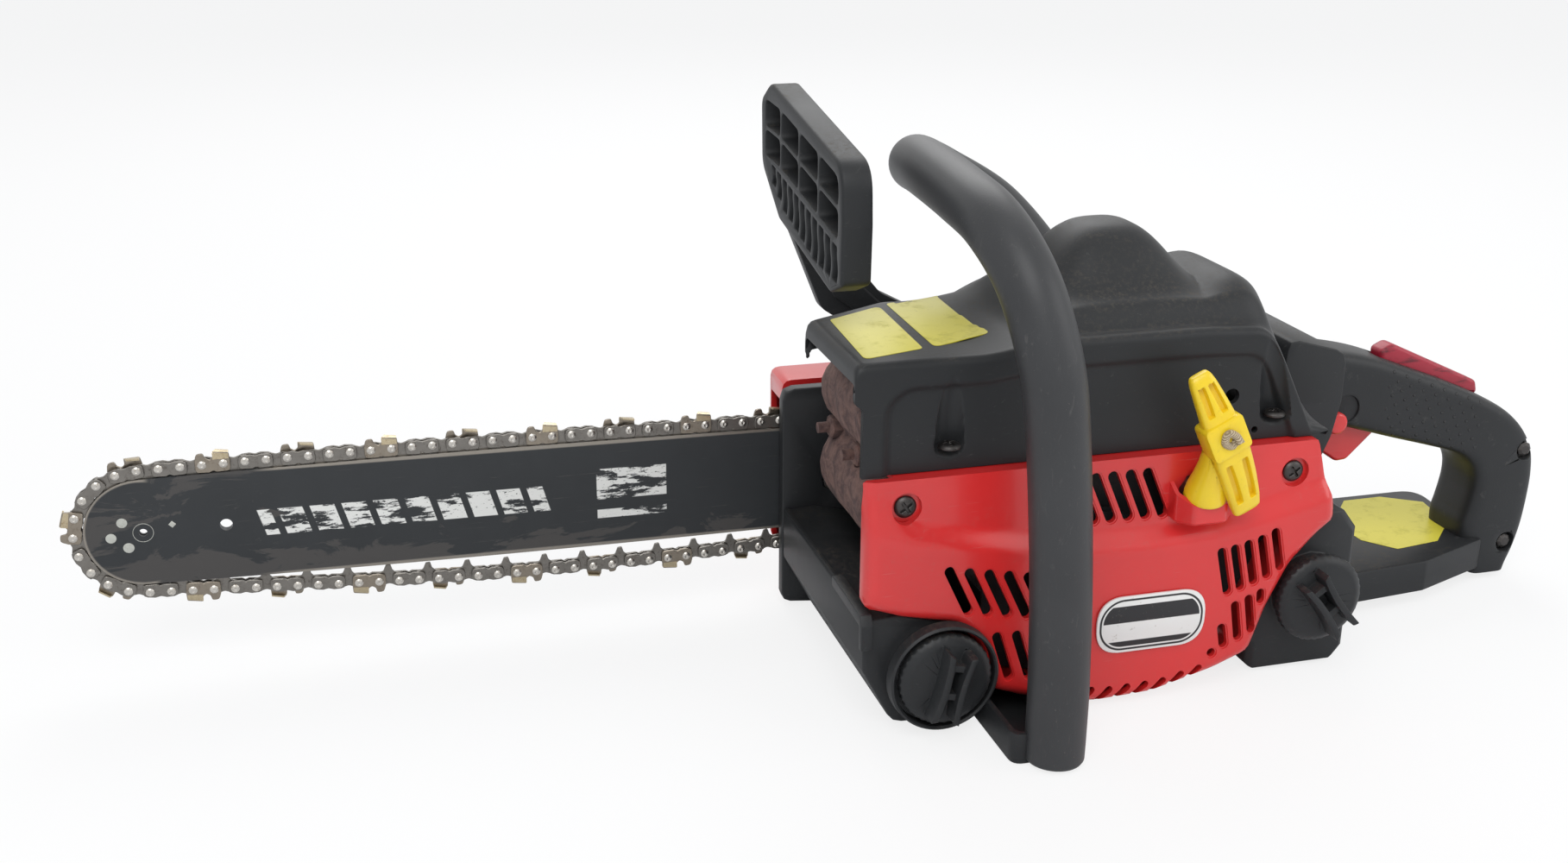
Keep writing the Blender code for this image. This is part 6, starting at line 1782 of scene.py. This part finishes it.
def screws():
    """Turned heads with a cross of two slots cut in: a dome falling by 2.4 mm to its rim. The cover's pair stands
    upright on the flutes' ledges."""
    profile = [(0, 2.4), (2.2, 2.35), (3.4, 2.15), (4.4, 1.65), (5.0, 0.9), (5.0, 0), (0, 0)]
    for name, (x, z) in zip(("housing_screw_front", "housing_screw_rear"), HOUSING_SCREWS):
        head = turned(name + "_head", profile, (x, LEFT_Y + 2.0, z), (0, -1, 0), 40)
        for turn in (35.0, 125.0):
            carve(head, slab("slot", slotted((x, z), 6.4, 1.25, turn, 6), LEFT_Y - 2.0, LEFT_Y + 1.0))
        done(eased(head, 0.15, 50.0, 1), dark_steel(), "dark_steel", "powerhead", name)
    for name, (x, z) in zip(("cover_screw_front", "cover_screw_rear"), COVER_SCREWS):
        y = COVER_LEFT + 2.4
        head = turned(name + "_head", profile, (x, y, z - 2.6), (0, 0, 1), 40)
        for turn in (20.0, 110.0):
            carve(head, slab("slot", slotted((x, y), 6.4, 1.25, turn, 6), z - 1.2, z + 2.0, 0, "XY"))
        done(eased(head, 0.15, 50.0, 1), dark_steel(), "dark_steel", "powerhead", name)


FLANGES = (
    ((-44, 61.5), (-86, 60.5), (-88.5, 56), (-88.5, 44), (-84.5, 44), (-84.5, 55), (-44, 56)),
)


def carried_nodes():
    """Every solid that still shows gets its slot's finish, and its edges are eased where it is moulded or cast."""
    slots = {part["node"]: part["material_slot"] for part in frame["record"]["subparts"]}
    for node in ("chassis", "oil_tank", "fuel_tank", "crankcase", "chain_catcher"):
        source = frame["nodes"][node]
        body = softened(node, 0.8, 40.0, 2)
        if node == "oil_tank":
            x, z = OIL_CAP
            collar = [(23.2, 0.0), (23.4, 5.2), (24.2, 6.0), (25.2, 5.2), (25.6, 0.0), (23.2, 0.0)]
            trim = [turned("neck_collar", collar, (x, -89.0, z), (0, -1, 0), 72)]
            for outline in FLANGES:
                trim.append(
                    slab("flange", rounded([(*point, 1.2) for point in outline], 4), -113.4, -108.0, 0.6, "YZ")
                )
            done(merged("tank_trim", trim), moulded_black(), "black_plastic", "powerhead")
        done(body, CARRIED[slots[node]](), slots[node], source["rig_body"], node)
    for node, obj in frame["nodes"].items():
        if obj.hide_render:
            continue
        obj.data.materials.clear()
        own = {"starter_pulley": moulded_black, "handle_screw_upper": dark_steel, "handle_screw_lower": dark_steel}
        obj.data.materials.append(own.get(node, CARRIED[slots[node]])())


# ---------------------------------------------------------------- stage


def stage():
    """A pale floor that keeps a faint shadow, a white surround, three soft lamps, and the picture's camera."""
    scene = bpy.context.scene
    scene.view_settings.view_transform = "Standard"
    world = bpy.data.worlds.new("surround")
    scene.world = world
    world.use_nodes = True
    tree = world.node_tree
    light = tree.nodes["Background"]
    light.inputs["Color"].default_value = (0.92, 0.95, 1.0, 1.0)
    light.inputs["Strength"].default_value = 0.55
    white = tree.nodes.new("ShaderNodeBackground")
    white.inputs["Color"].default_value = (0.96, 0.96, 0.96, 1.0)
    white.inputs["Strength"].default_value = 1.0
    rays = tree.nodes.new("ShaderNodeLightPath")
    seen = rays.outputs["Is Camera Ray"]
    for ray in ("Is Transmission Ray", "Is Glossy Ray"):
        either = tree.nodes.new("ShaderNodeMath")
        either.operation = "MAXIMUM"
        tree.links.new(seen, either.inputs[0])
        tree.links.new(rays.outputs[ray], either.inputs[1])
        seen = either.outputs[0]
    choice = tree.nodes.new("ShaderNodeMixShader")
    tree.links.new(seen, choice.inputs[0])
    tree.links.new(light.outputs[0], choice.inputs[1])
    tree.links.new(white.outputs[0], choice.inputs[2])
    tree.links.new(choice.outputs[0], tree.nodes["World Output"].inputs["Surface"])

    reach = 9000.0
    floor = surface(
        "floor", [[(-reach, -reach, 0), (reach, -reach, 0)], [(-reach, reach, 0), (reach, reach, 0)]], closed=False,
        ends=False
    )
    if floor.data.polygons[0].normal.z < 0:
        floor.data.flip_normals()
    paper = Finish("pale_floor")
    paper.shade(base_color=(0.93, 0.93, 0.93), roughness=0.9)
    glow = paper.tree.nodes.new("ShaderNodeEmission")
    both = paper.tree.nodes.new("ShaderNodeMixShader")
    path = paper.tree.nodes.new("ShaderNodeLightPath")
    share = Socket(paper, path.outputs["Is Camera Ray"]) * 0.80
    paper.feed(both.inputs[0], share)
    paper.tree.links.new(paper.shader.outputs[0], both.inputs[1])
    paper.tree.links.new(glow.outputs[0], both.inputs[2])
    paper.tree.links.new(both.outputs[0], paper.tree.nodes["Material Output"].inputs["Surface"])
    floor.data.materials.append(paper.material)

    for name, place, target, size, power in (
        ("key", (-0.55, -1.25, 1.55), (0.0, -0.05, 0.10), 1.3, 17.0),
        ("fill", (1.45, -0.95, 0.95), (0.05, 0.0, 0.10), 1.2, 8.0),
        ("rim", (0.25, 1.25, 1.35), (0.0, 0.0, 0.15), 1.4, 12.0),
    ):
        lamp = bpy.data.lights.new(name, "AREA")
        lamp.shape = "DISK"
        lamp.size = size
        lamp.energy = power
        holder = bpy.data.objects.new(name, lamp)
        holder.location = place
        holder.rotation_euler = (Vector(target) - Vector(place)).to_track_quat("-Z", "Y").to_euler()
        scene.collection.objects.link(holder)

    turn, tilt, roll = math.radians(CAMERA_AZIMUTH), math.radians(CAMERA_TILT), math.radians(CAMERA_ROLL)
    look = Vector((math.sin(turn) * math.cos(tilt), math.cos(turn) * math.cos(tilt), -math.sin(tilt)))
    right = Vector((math.cos(turn), -math.sin(turn), 0.0))
    up = right.cross(look)
    right, up = right * math.cos(roll) + up * math.sin(roll), up * math.cos(roll) - right * math.sin(roll)
    data = bpy.data.cameras.new("camera")
    data.lens = CAMERA_LENS
    data.sensor_fit = "HORIZONTAL"
    data.sensor_width = 36.0
    camera = bpy.data.objects.new("camera", data)
    matrix = Matrix((right, up, -look)).transposed().to_4x4()
    matrix.translation = CAMERA_PLACE
    camera.matrix_world = matrix
    scene.collection.objects.link(camera)
    scene.camera = camera


# ---------------------------------------------------------------- operators and panel


def operator(word, label, words, *makers):
    """An operator class that runs the makers in order."""

    def execute(self, context):
        for make in makers:
            make()
        return {"FINISHED"}

    kind = type(
        "CHAINSAW_OT_" + word,
        (bpy.types.Operator,),
        {
            "__doc__": words, "bl_idname": "chainsaw." + word, "bl_label": label,
            "bl_options": {"REGISTER", "UNDO"}, "execute": execute
        },
    )
    return kind


def caps():
    filler_cap("oil_cap", OIL_CAP, -90.3, "oil_plug", 14.0)
    filler_cap("fuel_cap", FUEL_CAP, -83.3, "fuel_plug", -36.0)


OPERATORS = (
    operator("bar", "Guide bar", "Makes the guide bar with its print and nose rivets", guide_bar),
    operator("chain", "Saw chain", "Makes the chain's links, cutters and rivets", saw_chain),
    operator("cover", "Top cover", "Makes the top cover's shell", top_cover),
    operator("housing", "Starter housing", "Makes the red side shell with its slots", starter_housing),
    operator("clutch_side", "Clutch cover", "Eases the clutch cover's edges", clutch_cover),
    operator("muffler", "Muffler", "Makes the muffler's shells and bolts", muffler),
    operator("panels", "Panels and badge", "Lays the plain panels and the badge", cover_panels, badge),
    operator("front_handle", "Front handle", "Makes the tube and its foot", front_handle),
    operator("guard", "Hand guard", "Makes the hand guard", hand_guard),
    operator("rear_handle", "Rear handle", "Makes the rear grip and its base", rear_handle, rear_guard),
    operator("controls", "Controls", "Makes the trigger, lock-out and button", controls),
    operator("starter", "Starter grip", "Makes the pull grip, its cord and knot", starter),
    operator("caps", "Filler caps", "Makes the oil and fuel caps", caps),
    operator("screws", "Screws", "Makes the casing's screws", screws),
    operator("carried", "Carried solids", "Finishes the solids that still show", carried_nodes),
    operator("stage", "Stage", "Makes the floor, lamps and camera", stage),
)


class CHAINSAW_PT_panel(bpy.types.Panel):
    """Lists the chainsaw's sizes, colours and operators."""

    bl_label = "Chainsaw"
    bl_space_type = "VIEW_3D"
    bl_region_type = "UI"
    bl_category = "Chainsaw"

    def draw(self, context):
        for group in (context.scene.chainsaw_sizes, context.scene.chainsaw_colours):
            for name in group.bl_rna.properties.keys():
                if name not in ("rna_type", "name"):
                    self.layout.prop(group, name)
        for kind in OPERATORS:
            self.layout.operator(kind.bl_idname)


CLASSES = (ChainsawSizes, ChainsawColours, *OPERATORS, CHAINSAW_PT_panel)


def register():
    for kind in CLASSES:
        bpy.utils.register_class(kind)
    bpy.types.Scene.chainsaw_sizes = bpy.props.PointerProperty(type=ChainsawSizes)
    bpy.types.Scene.chainsaw_colours = bpy.props.PointerProperty(type=ChainsawColours)


def unregister():
    del bpy.types.Scene.chainsaw_colours
    del bpy.types.Scene.chainsaw_sizes
    for kind in reversed(CLASSES):
        bpy.utils.unregister_class(kind)


def main():
    register()
    for kind in OPERATORS:
        word = kind.bl_idname.split(".")[1]
        getattr(bpy.ops.chainsaw, word)()


if __name__ == "__main__":
    main()
